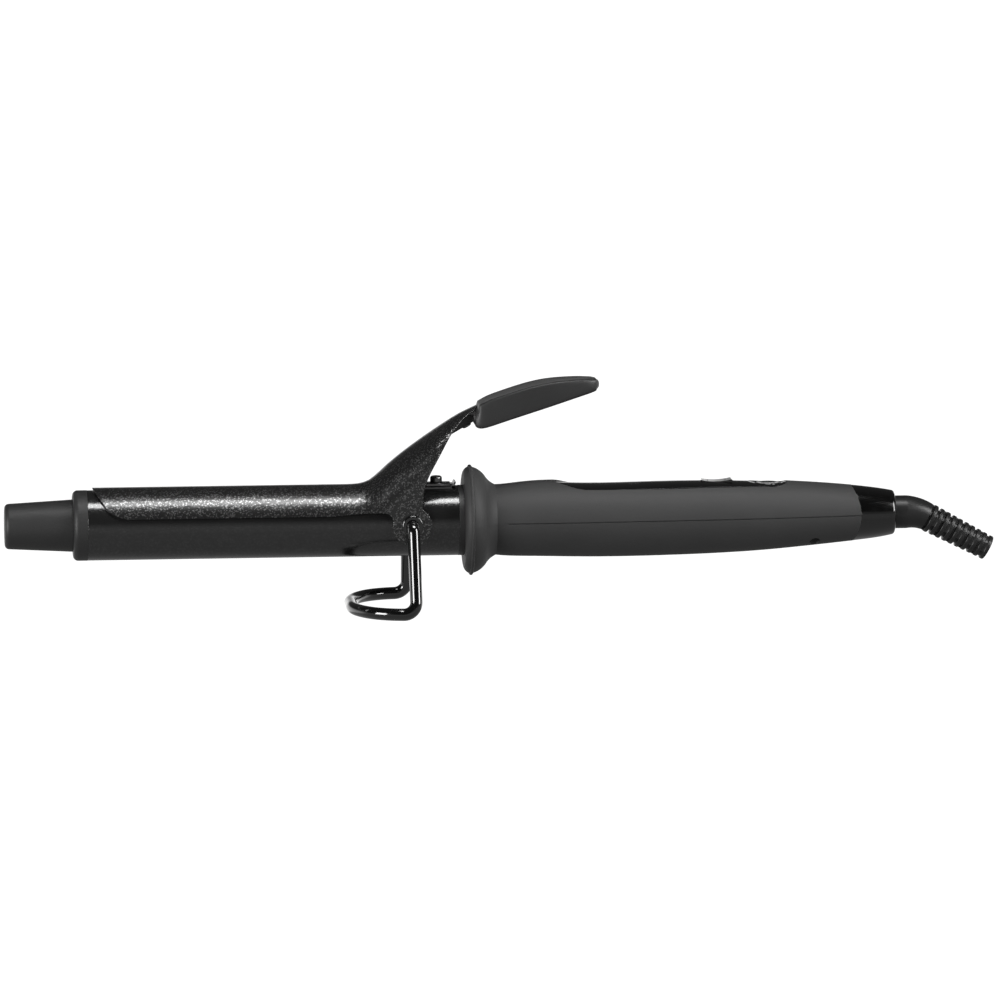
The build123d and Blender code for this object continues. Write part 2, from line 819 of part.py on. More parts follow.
switch_places = [(rocker_x - 4.4, 0), (rocker_x + 4.4, 0), (power_x, 0)]
with BuildPart() as tact_switches:
    with BuildSketch(Plane.XY.offset(board_top)):
        with Locations(switch_places):
            RectangleRounded(5.2, 5.2, 0.4)
    extrude(amount=2.0)
    with BuildSketch(Plane.XY.offset(board_top + 2.0)):
        with Locations(switch_places):
            Circle(1.4)
    extrude(amount=switch_top - board_top - 2.0)
tact_switches.part.label = "tact_switches"
export_step(tact_switches.part, "parts/tact_switches.step")

with BuildPart() as display_module:
    with BuildSketch(Plane.XY.offset(board_top)):
        with Locations((lens_x, 0)):
            RectangleRounded(lens_length - 3.0, lens_width + 2.0, 0.5)
    extrude(amount=panel_floor - 0.4 - board_top)
    fillet(display_module.faces().sort_by(Axis.Z)[-1].edges(), 0.4)
display_module.part.label = "display_module"
export_step(display_module.part, "parts/display_module.step")

# Under the board: a film capacitor, the switching triac with its tab, and a fuse holder.
with BuildPart() as board_components:
    with BuildSketch(Plane.XY.offset(board_height)):
        with Locations((board_x + 18, 0)):
            RectangleRounded(13.0, 6.0, 0.8)
    extrude(amount=-7.0)
    with BuildSketch(Plane.XY.offset(board_height)):
        with Locations((board_x + 34, 0)):
            Rectangle(4.4, 10.0)
    extrude(amount=-9.0)
    with BuildSketch(Plane.XY.offset(board_height)):
        with Locations((board_x + 52, -2.5)):
            Circle(4.0)
    extrude(amount=-8.0)
    fillet(board_components.faces().sort_by(Axis.Z)[0].edges(), 0.5)
board_components.part.label = "board_components"
export_step(board_components.part, "parts/board_components.step")

# ================================================================ cord swivel
core_collar_start = bulkhead_start + bulkhead_thickness + slot_clearance
pin_start = grip_end - 25.0
ring_places = (grip_end - 22.0, grip_end - 15.0)
ring_length = 3.0
ring_radius = 3.7
core_bore = 1.8
with BuildPart() as swivel_core:
    with BuildSketch(Plane(origin=(0, 0, rear_rise))):
        with BuildLine():
            Polyline(
                (pin_start, core_bore),
                (pin_start, pin_radius),
                (core_collar_start, pin_radius),
                (core_collar_start, 6.0),
                (core_collar_start + 1.6, 6.0),
                (core_collar_start + 1.6, 4.2),
                (disc_start, 4.2),
                (disc_start, swivel_disc_radius),
                (disc_start + disc_thickness, swivel_disc_radius),
                (disc_start + disc_thickness, core_bore),
                close=True,
            )
        make_face()
    revolve(axis=rear_axis)
swivel_core.part.label = "swivel_core"
export_step(swivel_core.part, "parts/swivel_core.step")

with BuildPart() as slip_rings:
    for place in ring_places:
        with BuildSketch(facing_rear(place, 0, rear_rise)):
            Circle(ring_radius)
            Circle(pin_radius + 0.02, mode=Mode.SUBTRACT)
        extrude(amount=ring_length)
slip_rings.part.label = "slip_rings"
export_step(slip_rings.part, "parts/slip_rings.step")

block_top = rear_rise - ring_radius - 1.6
block_start = pin_start - 1.0
block_length = 13.0
with BuildPart() as contact_block:
    with BuildSketch(Plane.XY.offset(block_top)):
        with Locations((block_start + 0.5 * block_length, 0)):
            RectangleRounded(block_length, 6.4, 0.6)
    extrude(amount=-2.2)
contact_block.part.label = "contact_block"
export_step(contact_block.part, "parts/contact_block.step")

# Sprung brushes: a foot on the block and a leaf that leans up to each slip ring.
with BuildPart() as brush_contacts:
    for place in ring_places:
        with BuildSketch(facing_rear(place + 0.5 * ring_length, 0, 0)):
            with BuildLine():
                Polyline(
                    (-2.8, block_top + 0.25),
                    (1.6, block_top + 0.25),
                    (-0.4, rear_rise - ring_radius - 0.35),
                    (-2.2, rear_rise - ring_radius - 0.05),
                )
            trace(line_width=0.4)
        extrude(amount=0.8, both=True)
brush_contacts.part.label = "brush_contacts"
export_step(brush_contacts.part, "parts/brush_contacts.step")

# ================================================================ strain relief
# Smooth neck through the end ring, a bend downwards, then a ribbed tail with webs that
# change sides from gap to gap. The cord's bore is open at the tail's end.
bend_start = handle_end + relief_straight
tilt = math.radians(relief_angle)
tail_start = (
    bend_start + relief_bend_radius * math.sin(tilt),
    0,
    rear_rise - relief_bend_radius * (1 - math.cos(tilt)),
)
tail_direction = (math.cos(tilt), 0, -math.sin(tilt))
tail_axis = Axis(tail_start, tail_direction)
tail_side = Plane(origin=tail_start, x_dir=tail_direction, z_dir=(0, -1, 0))
tail_across = Plane(origin=tail_start, x_dir=(0, 1, 0), z_dir=tail_direction)
tail_length = rib_count * rib_pitch
neck_end_radius = rib_start_radius - 0.15


def rib_radius(index):
    """Outer radius of one rib; they taper evenly from first to last."""
    return rib_start_radius + (rib_end_radius - rib_start_radius) * index / (rib_count - 1)


with BuildPart() as strain_relief:
    with BuildSketch(facing_rear(disc_start + disc_thickness, 0, rear_rise)):
        Circle(relief_neck_radius)
    extrude(amount=bend_start - disc_start - disc_thickness)
    for step in range(4):
        turn = tilt * step / 3
        with BuildSketch(
            Plane(
                origin=(
                    bend_start + relief_bend_radius * math.sin(turn),
                    0,
                    rear_rise - relief_bend_radius * (1 - math.cos(turn)),
                ),
                x_dir=(0, 1, 0),
                z_dir=(math.cos(turn), 0, -math.sin(turn)),
            )
        ):
            Circle(relief_neck_radius + (neck_end_radius - relief_neck_radius) * step / 3)
    loft()
    with BuildSketch(tail_side):
        with Locations((0.5 * tail_length, 0.5 * relief_core_radius)):
            Rectangle(tail_length, relief_core_radius)
        for index in range(rib_count):
            place = (index + 1) * rib_pitch - 0.5 * rib_thickness
            with Locations((place, 0.5 * rib_radius(index))):
                RectangleRounded(rib_thickness, rib_radius(index), 0.45)
    revolve(axis=tail_axis)
    for index in range(rib_count):
        with BuildSketch(tail_across.offset(index * rib_pitch - 0.2)):
            if index % 2:
                Rectangle(2 * rib_radius(index) - 0.7, 3.4)
            else:
                Rectangle(3.4, 2 * rib_radius(index) - 0.7)
        extrude(amount=rib_pitch - rib_thickness + 0.5)
    with BuildSketch(tail_across.offset(tail_length + 1)):
        Circle(cord_radius)
    extrude(amount=-(tail_length + 1 + relief_bend_radius * math.tan(tilt / 2)), mode=Mode.SUBTRACT)
    with BuildSketch(facing_rear(disc_start, 0, rear_rise)):
        Circle(cord_radius)
    extrude(amount=bend_start - disc_start + relief_bend_radius * math.tan(tilt / 2), mode=Mode.SUBTRACT)
strain_relief.part.label = "strain_relief"
export_step(strain_relief.part, "parts/strain_relief.step")

# ================================================================ leads
lead_end_x = board_x + 3.0
lead_end_z = board_height - lead_radius
socket_exit = socket_end + 2.0
lead_turn_y = post_radius + lead_radius + 1.2
neutral_lead = wire_run(
    [
        (heater_end + fit_clearance, -lead_y, 0),
        (socket_exit - 18.0, -lead_y, 0.3),
        (socket_exit, -lead_turn_y, 0.4),
        (board_x - 2.0, -lead_turn_y - 0.2, 1.6),
        (lead_end_x, -lead_turn_y, lead_end_z - 0.05),
    ],
    [12.0, 10.0, 4.0],
    lead_radius,
)
live_lead_front = wire_run(
    [
        (heater_end + fit_clearance, lead_y + 0.6, 0),
        (heater_end + 4.0, lead_y + 0.6, 0.25),
        (fuse_start - 0.15, lead_y, 0),
    ],
    [6.0],
    lead_radius,
)
live_lead_rear = wire_run(
    [
        (fuse_start + fuse_length + 0.15, lead_y, 0),
        (socket_exit - 18.0, lead_y + 0.1, 0.3),
        (socket_exit, lead_turn_y, 0.4),
        (board_x - 2.0, lead_turn_y + 0.2, 1.6),
        (lead_end_x, lead_turn_y, lead_end_z - 0.05),
    ],
    [12.0, 10.0, 4.0],
    lead_radius,
)
with BuildPart() as heater_leads:
    add(neutral_lead)
    add(live_lead_front)
    add(live_lead_rear)
heater_leads.part.label = "heater_leads"
export_step(heater_leads.part, "parts/heater_leads.step")

sensor_wire_radius = 0.45
sensor_wires = [
    wire_run(
        [
            (sensor_start + sensor_length, sensor_y + shift, sensor_z),
            (heater_end + 14.0, 0.9 * sensor_y + shift, sensor_z),
            (socket_exit - 12.0, sensor_y + shift, sensor_z + 0.1),
            (socket_exit + 1.0, lead_turn_y - 0.4 + shift, sensor_z + 0.2),
            (board_x - 0.05, lead_turn_y - 0.6 + shift, board_height + 0.5 * board_thickness),
        ],
        [12.0, 12.0, 8.0],
        sensor_wire_radius,
    )
    for shift in (-0.55, 0.55)
]
with BuildPart() as sensor_leads:
    add(sensor_wires)
sensor_leads.part.label = "sensor_leads"
export_step(sensor_leads.part, "parts/sensor_leads.step")

mains_wires = [
    wire_run(
        [
            (block_start + 2.0, side * 4.2, block_top - 1.0),
            (block_start - 3.0, side * 4.2, block_top - 0.9),
            (board_end - 4.0, side * 4.3, 1.2),
            (board_end - 8.0, side * 4.2, board_height - lead_radius - fit_clearance),
        ],
        [2.0, 2.5],
        lead_radius,
    )
    for side in (-1, 1)
]
with BuildPart() as mains_leads:
    add(mains_wires)
mains_leads.part.label = "mains_leads"
export_step(mains_leads.part, "parts/mains_leads.step")

# ================================================================ hinge and stand
clamp_inner = barrel_radius + clamp_gap
clamp_outer = clamp_inner + clamp_sheet
bush_face = clamp_outer + clamp_gap
bush_outer_face = bush_face + bush_head_thickness
bush_inner_face = socket_bore + 0.4
leg_y = bush_outer_face + stand_leg_clearance + wire_radius
with BuildPart() as pivot_bushes:
    for side in (-1, 1):
        with BuildSketch(Plane(origin=(hinge_x, side * bush_inner_face, 0), z_dir=(0, side, 0))):
            Circle(bush_radius)
        extrude(amount=bush_face - bush_inner_face)
        with BuildSketch(Plane(origin=(hinge_x, side * bush_face, 0), z_dir=(0, side, 0))):
            Circle(bush_head_radius)
        extrude(amount=bush_head_thickness)
    fillet(pivot_bushes.edges().filter_by(GeomType.CIRCLE).group_by(Axis.Y)[0], 0.55)
    fillet(pivot_bushes.edges().filter_by(GeomType.CIRCLE).group_by(Axis.Y)[-1], 0.55)
    with BuildSketch(Plane.XZ):
        with Locations((hinge_x, 0)):
            Circle(bush_bore)
    extrude(amount=2 * barrel_radius, both=True, mode=Mode.SUBTRACT)
pivot_bushes.part.label = "pivot_bushes"
export_step(pivot_bushes.part, "parts/pivot_bushes.step")

# One bent wire: an end in each bush, splayed legs and a rounded foot towards the tip.
wire_end_y = bush_inner_face + 0.6
foot_nose_half_width = 0.42 * stand_foot_half_width
half_route = [
    (hinge_x, wire_end_y, 0),
    (hinge_x, leg_y, 0),
    (hinge_x + 0.4, stand_foot_half_width, -stand_drop),
    (hinge_x - 0.62 * stand_reach, 0.92 * stand_foot_half_width, -stand_drop),
    (hinge_x - stand_reach, foot_nose_half_width, -stand_drop),
]
stand_route = half_route + [(x, -y, z) for x, y, z in reversed(half_route)]
half_radii = [3.0, 4.5, 18.5, 24.0]
stand_body = wire_run(stand_route, half_radii + half_radii[::-1], wire_radius)
with BuildPart() as stand_wire:
    add(stand_body)
stand_wire.part.label = "stand_wire"
export_step(stand_wire.part, "parts/stand_wire.step")

# ================================================================ clamp
# Shape of the pressing behind the spoon: distance behind the hinge, how much narrower than
# the spoon, rise of the crown above the spoon, and how much flatter the crown's rounding is.
clamp_rows = [
    (-23.0, 0.0, 0.0, 0.0),
    (-20.0, 0.0, 0.13, 0.0),
    (-16.2, 0.0, 0.95, 0.0),
    (-12.5, 0.0, 3.5, 0.0),
    (-8.8, 0.0, 6.9, 0.0),
    (-3.8, 0.0, 11.0, 0.2),
    (3.6, 0.0, 16.4, 1.9),
    (7.6, 0.0, 19.1, 3.4),
    (11.0, 1.3, 21.35, 4.9),
    (18.4, 4.7, 25.9, 7.9),
    (24.8, 6.6, 28.9, 10.4),
]
clamp_section_count = 25
clamp_front = barrel_start + clamp_setback
spoon_run = hinge_x - barrel_start
skirt_depth = clamp_ear_radius + 3.0
lever_x = hinge_x
lever_z = clamp_outer


def channel(x, half_width, crown, crown_height, bottom):
    """One section of the pressing: upright sides under a half-elliptical crown."""
    with BuildSketch(across(x)) as made:
        with BuildLine():
            Polyline(
                (half_width, crown - crown_height),
                (half_width, bottom),
                (-half_width, bottom),
                (-half_width, crown - crown_height),
            )
            EllipticalCenterArc(
                (0, crown - crown_height),
                half_width,
                crown_height,
                start_angle=0,
                arc_size=180,
            )
        make_face()
    return made.sketch


def smooth_between(rows, x):
    """Each column of rows at x, on curves that neither overshoot nor dip between the rows."""
    index = max(i for i in range(len(rows) - 1) if rows[i][0] <= x + 1e-9)
    before, after = rows[index], rows[index + 1]
    step = after[0] - before[0]
    t = (x - before[0]) / step
    values = []
    for column in range(1, len(before)):
        slopes = []
        for i in (index, index + 1):
            near = rows[max(i - 1, 0):i + 2]
            rises = [(q[column] - p[column]) / (q[0] - p[0]) for p, q in zip(near, near[1:])]
            product = rises[0] * rises[-1]
            slopes.append(2 * product / (rises[0] + rises[-1]) if product > 0 else 0.0)
        values.append(
            before[column] * (1 + 2 * t) * (1 - t) ** 2
            + after[column] * t * t * (3 - 2 * t)
            + step * (slopes[0] * t * (1 - t) ** 2 - slopes[1] * t * t * (1 - t))
        )
    return values


# The sheet is measured across its slope, so under the sloping crown it is taller.
crown_slope = 1.25
outer_channels = []
inner_channels = []
for step in range(clamp_section_count):
    place = clamp_rows[0][0] + (clamp_rows[-1][0] - clamp_rows[0][0]) * step / (clamp_section_count - 1)
    narrower, rise, flatter = smooth_between(clamp_rows, place)
    sheet = clamp_sheet * (1 + (crown_slope - 1) * min(rise / 5.0, 1.0))
    outer_channels.append(
        channel(
            hinge_x + place,
            clamp_outer - narrower,
            clamp_outer + rise,
            clamp_outer - flatter,
            -skirt_depth,
        )
    )
    inner_channels.append(
        channel(
            hinge_x + place,
            clamp_inner - narrower,
            clamp_outer + rise - sheet,
            clamp_inner - flatter,
            -skirt_depth - 1,
        )
    )
tongue_route = [
    (lever_x + 20.0, lever_z + 25.5),
    (lever_x + 25.2, lever_z + 28.0),
    (lever_x + 34.0, lever_z + 31.1),
    (lever_x + 50.0, lever_z + 35.5),
]
rest_front = lever_x + 23.6
rest_rear = lever_x + 69.2
rest_half_width = 8.6
rest_front_half_width = 6.8
rest_tail_half_width = 5.6
rest_round = 0.8

# Underside of the rest's nose, where the rivet's head bears.
nose_run = 10.0
nose_climb = 5.7
nose_slope = math.atan2(nose_climb, nose_run)
nose_front = (lever_x + 14.6, lever_z + 18.2)
nose_rear = (nose_front[0] + nose_run, nose_front[1] + nose_climb)
rivet_plane = Plane(
    origin=(nose_front[0] + 0.62 * nose_run, 0, nose_front[1] + 0.62 * nose_climb),
    x_dir=(math.cos(nose_slope), 0, math.sin(nose_slope)),
    z_dir=(-math.sin(nose_slope), 0, math.cos(nose_slope)),
)
rivet_radius = 1.1
rivet_head_radius = 1.8
rivet_length = 4.2

# The neck's end stands in a shallow seat in the rest's front.
neck_x, neck_narrower, neck_rise, neck_flatter = clamp_rows[-1]
neck_seat_clearance = 0.4
neck_seat = channel(
    lever_x + neck_x + fit_clearance,
    clamp_outer - neck_narrower + neck_seat_clearance,
    clamp_outer + neck_rise + running_clearance,
    clamp_outer - neck_flatter + running_clearance,
    neck_rise + neck_flatter - 0.2,
)

with BuildPart() as clamp_plate:
    extrude(outer_channels[0], amount=-spoon_run)
    loft(outer_channels, ruled=True)
    extrude(inner_channels[0], amount=-spoon_run, mode=Mode.SUBTRACT)
    loft(inner_channels, ruled=True, mode=Mode.SUBTRACT)
    with BuildSketch(Plane.XZ) as clamp_side:
        with BuildLine():
            Polyline(
                (lever_x + 23.4, lever_z + 27.5),
                (lever_x + 26.0, lever_z + 29.6),
                (lever_x + 26.0, 60.0),
                (clamp_front - 1.6, 60.0),
                (clamp_front - 1.6, clamp_outer + 2.0),
                (clamp_front + 8.0, clamp_edge_height),
                (hinge_x - 30.0, clamp_edge_height),
                (hinge_x - 16.0, clamp_edge_height + 1.0),
                (hinge_x - 3.0, clamp_edge_height + 1.0),
                (hinge_x + 3.8, 3.0),
                (hinge_x + 3.8, 8.5),
            )
            Spline(
                (hinge_x + 3.8, 8.5),
                (hinge_x + 5.8, lever_z + 3.5),
                (hinge_x + 10.2, lever_z + 11.7),
                (lever_x + 15.2, lever_z + 20.0),
                (lever_x + 23.4, lever_z + 27.5),
            )
        make_face()
        front_corner = (clamp_front + 8.0, clamp_edge_height, 0)
        fillet(clamp_side.vertices().sort_by_distance(front_corner)[0], 12.0)
        with Locations((hinge_x, -0.3)):
            Circle(clamp_ear_radius)
        ear_corner = (hinge_x - 5.0, clamp_edge_height + 1.0, 0)
        fillet(clamp_side.vertices().sort_by_distance(ear_corner)[0], 3.5)
    extrude(amount=2 * clamp_outer, both=True, mode=Mode.INTERSECT)
    with BuildSketch(Plane.XZ):
        with Locations((hinge_x, 0)):
            Circle(bush_radius + running_clearance)
    extrude(amount=2 * clamp_outer, both=True, mode=Mode.SUBTRACT)
    with BuildSketch(Plane.XZ):
        with BuildLine():
            Polyline(*tongue_route)
        trace(line_width=lever_tongue_thickness)
    extrude(amount=lever_tongue_half_width, both=True)
    with BuildSketch(rivet_plane):
        Circle(rivet_radius + fit_clearance)
    extrude(amount=rivet_length, mode=Mode.SUBTRACT)
clamp_plate.part.label = "clamp_plate"
export_step(clamp_plate.part, "parts/clamp_plate.step")

# ---------------------------------------------------------------- thumb rest on the lever
# Side outline and plan of the rest, in distances behind the hinge and above the spoon.
with BuildPart() as thumb_rest:
    with BuildSketch(Plane.XZ):
        with BuildLine():
            Line((rest_front, lever_z + 22.8), (rest_front, lever_z + 28.2))
            Spline(
                (rest_front, lever_z + 28.2),
                (lever_x + 27.6, lever_z + 31.2),
                (lever_x + 34.0, lever_z + 33.3),
                (lever_x + 47.0, lever_z + 37.3),
                (lever_x + 60.0, lever_z + 38.4),
                (rest_rear - 2.0, lever_z + 37.9),
            )
            ThreePointArc(
                (rest_rear - 2.0, lever_z + 37.9),
                (rest_rear, lever_z + 36.2),
                (rest_rear - 1.6, lever_z + 34.6),
            )
            Spline(
                (rest_rear - 1.6, lever_z + 34.6),
                (lever_x + 54.0, lever_z + 30.2),
                (lever_x + 40.0, lever_z + 25.6),
                (lever_x + 30.0, lever_z + 22.1),
                (lever_x + 26.0, lever_z + 21.3),
            )
            ThreePointArc(
                (lever_x + 26.0, lever_z + 21.3),
                (lever_x + 24.3, lever_z + 21.7),
                (rest_front, lever_z + 22.8),
            )
        make_face()
    extrude(amount=rest_half_width, both=True)
    with BuildSketch(Plane.XY):
        with BuildLine():
            rest_edge = [
                Line((rest_front, 0), (rest_front, rest_front_half_width)),
                ThreePointArc(
                    (rest_front, rest_front_half_width),
                    (lever_x + 40.0, rest_half_width),
                    (rest_rear - 4.0, rest_tail_half_width),
                ),
                ThreePointArc(
                    (rest_rear - 4.0, rest_tail_half_width),
                    (rest_rear - 1.0, 0.62 * rest_tail_half_width),
                    (rest_rear, 0),
                ),
            ]
            mirror(rest_edge, about=Plane.XZ)
        make_face()
    extrude(amount=lever_z + 60.0, mode=Mode.INTERSECT)
    fillet(thumb_rest.edges().filter_by(Axis.Z, reverse=True), rest_round)
    with BuildSketch(Plane.XZ):
        with BuildLine():
            Polyline(
                nose_front,
                nose_rear,
                (rest_front + 1.0, lever_z + 26.6),
                (lever_x + 20.0, lever_z + 24.9),
                (lever_x + 14.6, lever_z + 20.8),
                close=True,
            )
        make_face()
    extrude(amount=lever_tongue_half_width, both=True)
    with BuildSketch(Plane.XZ):
        with BuildLine():
            Polyline(*tongue_route)
        trace(line_width=lever_tongue_thickness + 2 * fit_clearance)
    extrude(amount=lever_tongue_half_width + fit_clearance, both=True, mode=Mode.SUBTRACT)
    extrude(neck_seat, amount=-2.5, mode=Mode.SUBTRACT)
    with BuildSketch(rivet_plane):
        Circle(rivet_radius + fit_clearance)
    extrude(amount=rivet_length, mode=Mode.SUBTRACT)
thumb_rest.part.label = "thumb_rest"
export_step(thumb_rest.part, "parts/thumb_rest.step")

# Rivet from under the rest's nose into the lever's tongue.
with BuildPart() as thumb_rivet:
    with BuildSketch(rivet_plane):
        Circle(rivet_head_radius)
    extrude(amount=-1.0)
    fillet(thumb_rivet.faces().sort_by(Axis(rivet_plane.origin, rivet_plane.z_dir))[0].edges(), 0.6)
    with BuildSketch(rivet_plane):
        Circle(rivet_radius)
    extrude(amount=rivet_length)
thumb_rivet.part.label = "thumb_rivet"
export_step(thumb_rivet.part, "parts/thumb_rivet.step")

# ================================================================ clamp spring
# Hairpin leaf: a saddle screwed to the barrel, a turn ahead of the hinge and a leg that
# leans up against the inside of the clamp's neck and holds the clamp shut.
saddle_inner = barrel_radius + fit_clearance
saddle_outer = saddle_inner + leaf_thickness
leaf_middle = 0.5 * (saddle_inner + saddle_outer)
saddle_front = hinge_x - 3.0
saddle_rear = spring_screw_x + 5.6
with BuildPart() as leaf_spring:
    with BuildSketch(across(saddle_front)):
        Circle(saddle_outer)
        Circle(saddle_inner, mode=Mode.SUBTRACT)
        with Locations((0, barrel_radius)):
            Rectangle(9.0, barrel_radius, mode=Mode.INTERSECT)
    extrude(amount=saddle_rear - saddle_front)
    with BuildSketch(Plane.XZ):
        with BuildLine():
            FilletPolyline(
                (saddle_front + 1.0, leaf_middle),
                (hinge_x - 5.4, leaf_middle),
                (hinge_x + 7.6, lever_z + 17.6),
                (hinge_x + 10.2, lever_z + 18.7),
                radius=[1.5, 2.0],
            )
        trace(line_width=leaf_thickness)
    extrude(amount=3.0, both=True)
    with BuildSketch(Plane.XZ):
        with BuildLine():
            FilletPolyline(
                (saddle_rear - 0.5, leaf_middle),
                (saddle_rear + 0.7, leaf_middle),
                (saddle_rear + 1.3, leaf_middle + 1.3),
                radius=0.5,
            )
        trace(line_width=leaf_thickness)
    extrude(amount=3.6, both=True)
    with BuildSketch(Plane.XY):
        with Locations((spring_screw_x, 0)):
            Circle(spring_screw_radius + running_clearance)
    extrude(amount=2 * barrel_radius, mode=Mode.SUBTRACT)
leaf_spring.part.label = "leaf_spring"
export_step(leaf_spring.part, "parts/leaf_spring.step")

washer_inner = saddle_outer + fit_clearance
washer_outer = washer_inner + 0.7
with BuildPart() as spring_washer:
    with BuildSketch(across(spring_screw_x - 3.8)):
        Circle(washer_outer)
        Circle(washer_inner, mode=Mode.SUBTRACT)
        with Locations((0, barrel_radius)):
            Rectangle(6.8, barrel_radius, mode=Mode.INTERSECT)
    extrude(amount=8.8)
    with BuildSketch(Plane.XY):
        with Locations((spring_screw_x, 0)):
            Circle(spring_screw_radius + running_clearance)
    extrude(amount=2 * barrel_radius, mode=Mode.SUBTRACT)
spring_washer.part.label = "spring_washer"
export_step(spring_washer.part, "parts/spring_washer.step")

spring_screw_body = screw(
    Plane(origin=(spring_screw_x, 0, washer_outer + fit_clearance)),
    2.2,
    2.2,
    spring_screw_radius,
    washer_outer - socket_bore - 0.5,
)
with BuildPart() as spring_screw:
    add(spring_screw_body)
spring_screw.part.label = "spring_screw"
export_step(spring_screw.part, "parts/spring_screw.step")
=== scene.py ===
# %% [markdown]
# # A curling iron, finished in Blender
#
# The iron's solid pieces come ready made: every tube, screw and spring is already in its
# place, in metres, with the barrel lying along X and the tip at the origin. What is left to
# do here is what makes it look real: the finishes, a few pieces that want a softer shape
# than a machined solid, the small raised signs on the buttons, and a studio to see it in.
#
# The first cell loads the solids, and a helper measures the box of any one of them. Nothing
# that is added may make the iron bigger.

# %% Load the frame
import json
import math

import bmesh
import bpy
from mathutils import Matrix, Vector


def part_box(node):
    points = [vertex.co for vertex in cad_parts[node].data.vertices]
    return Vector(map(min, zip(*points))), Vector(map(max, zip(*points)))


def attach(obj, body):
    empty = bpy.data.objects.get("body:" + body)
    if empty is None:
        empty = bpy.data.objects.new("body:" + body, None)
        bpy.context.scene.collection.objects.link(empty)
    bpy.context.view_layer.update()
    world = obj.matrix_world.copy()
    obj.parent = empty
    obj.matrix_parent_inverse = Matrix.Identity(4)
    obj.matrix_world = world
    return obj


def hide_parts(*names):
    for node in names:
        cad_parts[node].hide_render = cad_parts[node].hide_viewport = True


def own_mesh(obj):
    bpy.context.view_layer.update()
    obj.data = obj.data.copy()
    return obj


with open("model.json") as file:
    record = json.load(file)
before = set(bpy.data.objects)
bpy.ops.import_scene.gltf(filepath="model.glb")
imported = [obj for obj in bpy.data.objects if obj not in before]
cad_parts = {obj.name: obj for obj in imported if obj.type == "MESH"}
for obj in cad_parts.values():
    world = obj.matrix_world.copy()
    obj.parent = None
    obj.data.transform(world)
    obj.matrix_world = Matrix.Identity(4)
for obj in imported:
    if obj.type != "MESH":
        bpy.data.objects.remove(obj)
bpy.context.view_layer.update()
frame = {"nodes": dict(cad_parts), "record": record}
nodes = frame["nodes"]

# %% [markdown]
# ## Writing shaders as sums
#
# A finish is a small sum: take some noise, keep its peaks, mix two greys by it. Drawn by
# hand in the shader editor that is a dozen boxes and wires. Here one small class wraps a
# socket, so that `noise * 0.2 + 0.3` adds the Math nodes by itself. The other class holds a
# material and makes any other node through one method. Colours never go through Math
# nodes, which would turn them grey; they are mixed with a Mix node.

# %% Sockets that can be added and multiplied
class Value:
    """One output of a node, which can be used in a sum."""

    def __init__(self, finish, socket):
        self.finish = finish
        self.socket = socket

    def maths(self, operation, *others):
        sockets = {0: self, **dict(enumerate(others, 1))}
        return self.finish.node("Math", {"operation": operation}, sockets)

    def __add__(self, other):
        return self.maths("ADD", other)

    def __mul__(self, other):
        return self.maths("MULTIPLY", other)

    def __sub__(self, other):
        return self.maths("SUBTRACT", other)

    def __rsub__(self, other):
        return (self * -1.0).maths("ADD", other)

    __radd__ = __add__
    __rmul__ = __mul__

    def above(self, edge, width):
        """0 below the edge and 1 above it, with a soft step between."""
        return self.finish.node(
            "MapRange",
            {"interpolation_type": "SMOOTHSTEP"},
            {0: self, 1: edge - 0.5 * width, 2: edge + 0.5 * width},
        )


print("sockets can be used in sums")

# %% A material and its nodes
class Finish:
    """One material: a Principled shader, and a method that makes any other node."""

    def __init__(self, name, **constants):
        self.material = bpy.data.materials.new(name)
        self.material.use_nodes = True
        self.tree = self.material.node_tree
        self.shader = self.tree.nodes["Principled BSDF"]
        self.place = self.node("TexCoord", out="Object")
        self.put(**{key.replace("_", " "): value for key, value in constants.items()})

    def node(self, kind, settings={}, sockets={}, out=0):
        made = self.tree.nodes.new("ShaderNode" + kind)
        for key, value in settings.items():
            if key == "stops":
                for stop in value[2:]:
                    made.color_ramp.elements.new(1.0)
                for element, (place, level) in zip(made.color_ramp.elements, value):
                    element.position = place
                    element.color = (level, level, level, 1)
            else:
                setattr(made, key, value)
        for key, value in sockets.items():
            self.join(made.inputs[key], value)
        return Value(self, made.outputs[out])

    def join(self, socket, value):
        if isinstance(value, Value):
            self.tree.links.new(value.socket, socket)
        elif socket.type == "RGBA" and len(value) == 3:
            socket.default_value = (*value, 1)
        else:
            socket.default_value = value

    def put(self, **sockets):
        for name, value in sockets.items():
            self.join(self.shader.inputs[name], value)

    def noise(self, size, detail=2.0, roughness=0.5, along=None):
        """Noise whose blobs are about size metres across, from 0 to 1."""
        settings = {"noise_dimensions": "3D"}
        sockets = {"Vector": along or self.place, "Scale": 1 / size}
        sockets |= {"Detail": detail, "Roughness": roughness}
        return self.node("TexNoise", settings, sockets)

    def cells(self, size, out="Distance"):
        """Cells about size metres across: the distance to a cell's middle, or its colour."""
        return self.node("TexVoronoi", {}, {"Vector": self.place, "Scale": 1 / size}, out=out)

    def stretched(self, x=1.0, y=1.0, z=1.0):
        """The place with its axes scaled, for grain that runs along the piece."""
        return self.node("Mapping", {}, {"Vector": self.place, "Scale": (x, y, z)})

    def mix(self, factor, low, high):
        """A colour between low and high."""
        return self.node("Mix", {"data_type": "RGBA"}, {0: factor, 6: low, 7: high}, out=2)

    def bump(self, height, depth, under=None):
        """The surface raised by height times depth metres, on rounded edges."""
        sockets = {"Height": height, "Distance": depth, "Strength": 1.0}
        if under:
            sockets["Normal"] = under
        return self.node("Bump", {}, sockets)

    def soft_edges(self, radius):
        """Edges that look as if rounded by radius metres, so that they catch the light."""
        return self.node("Bevel", {"samples": 6}, {"Radius": radius})


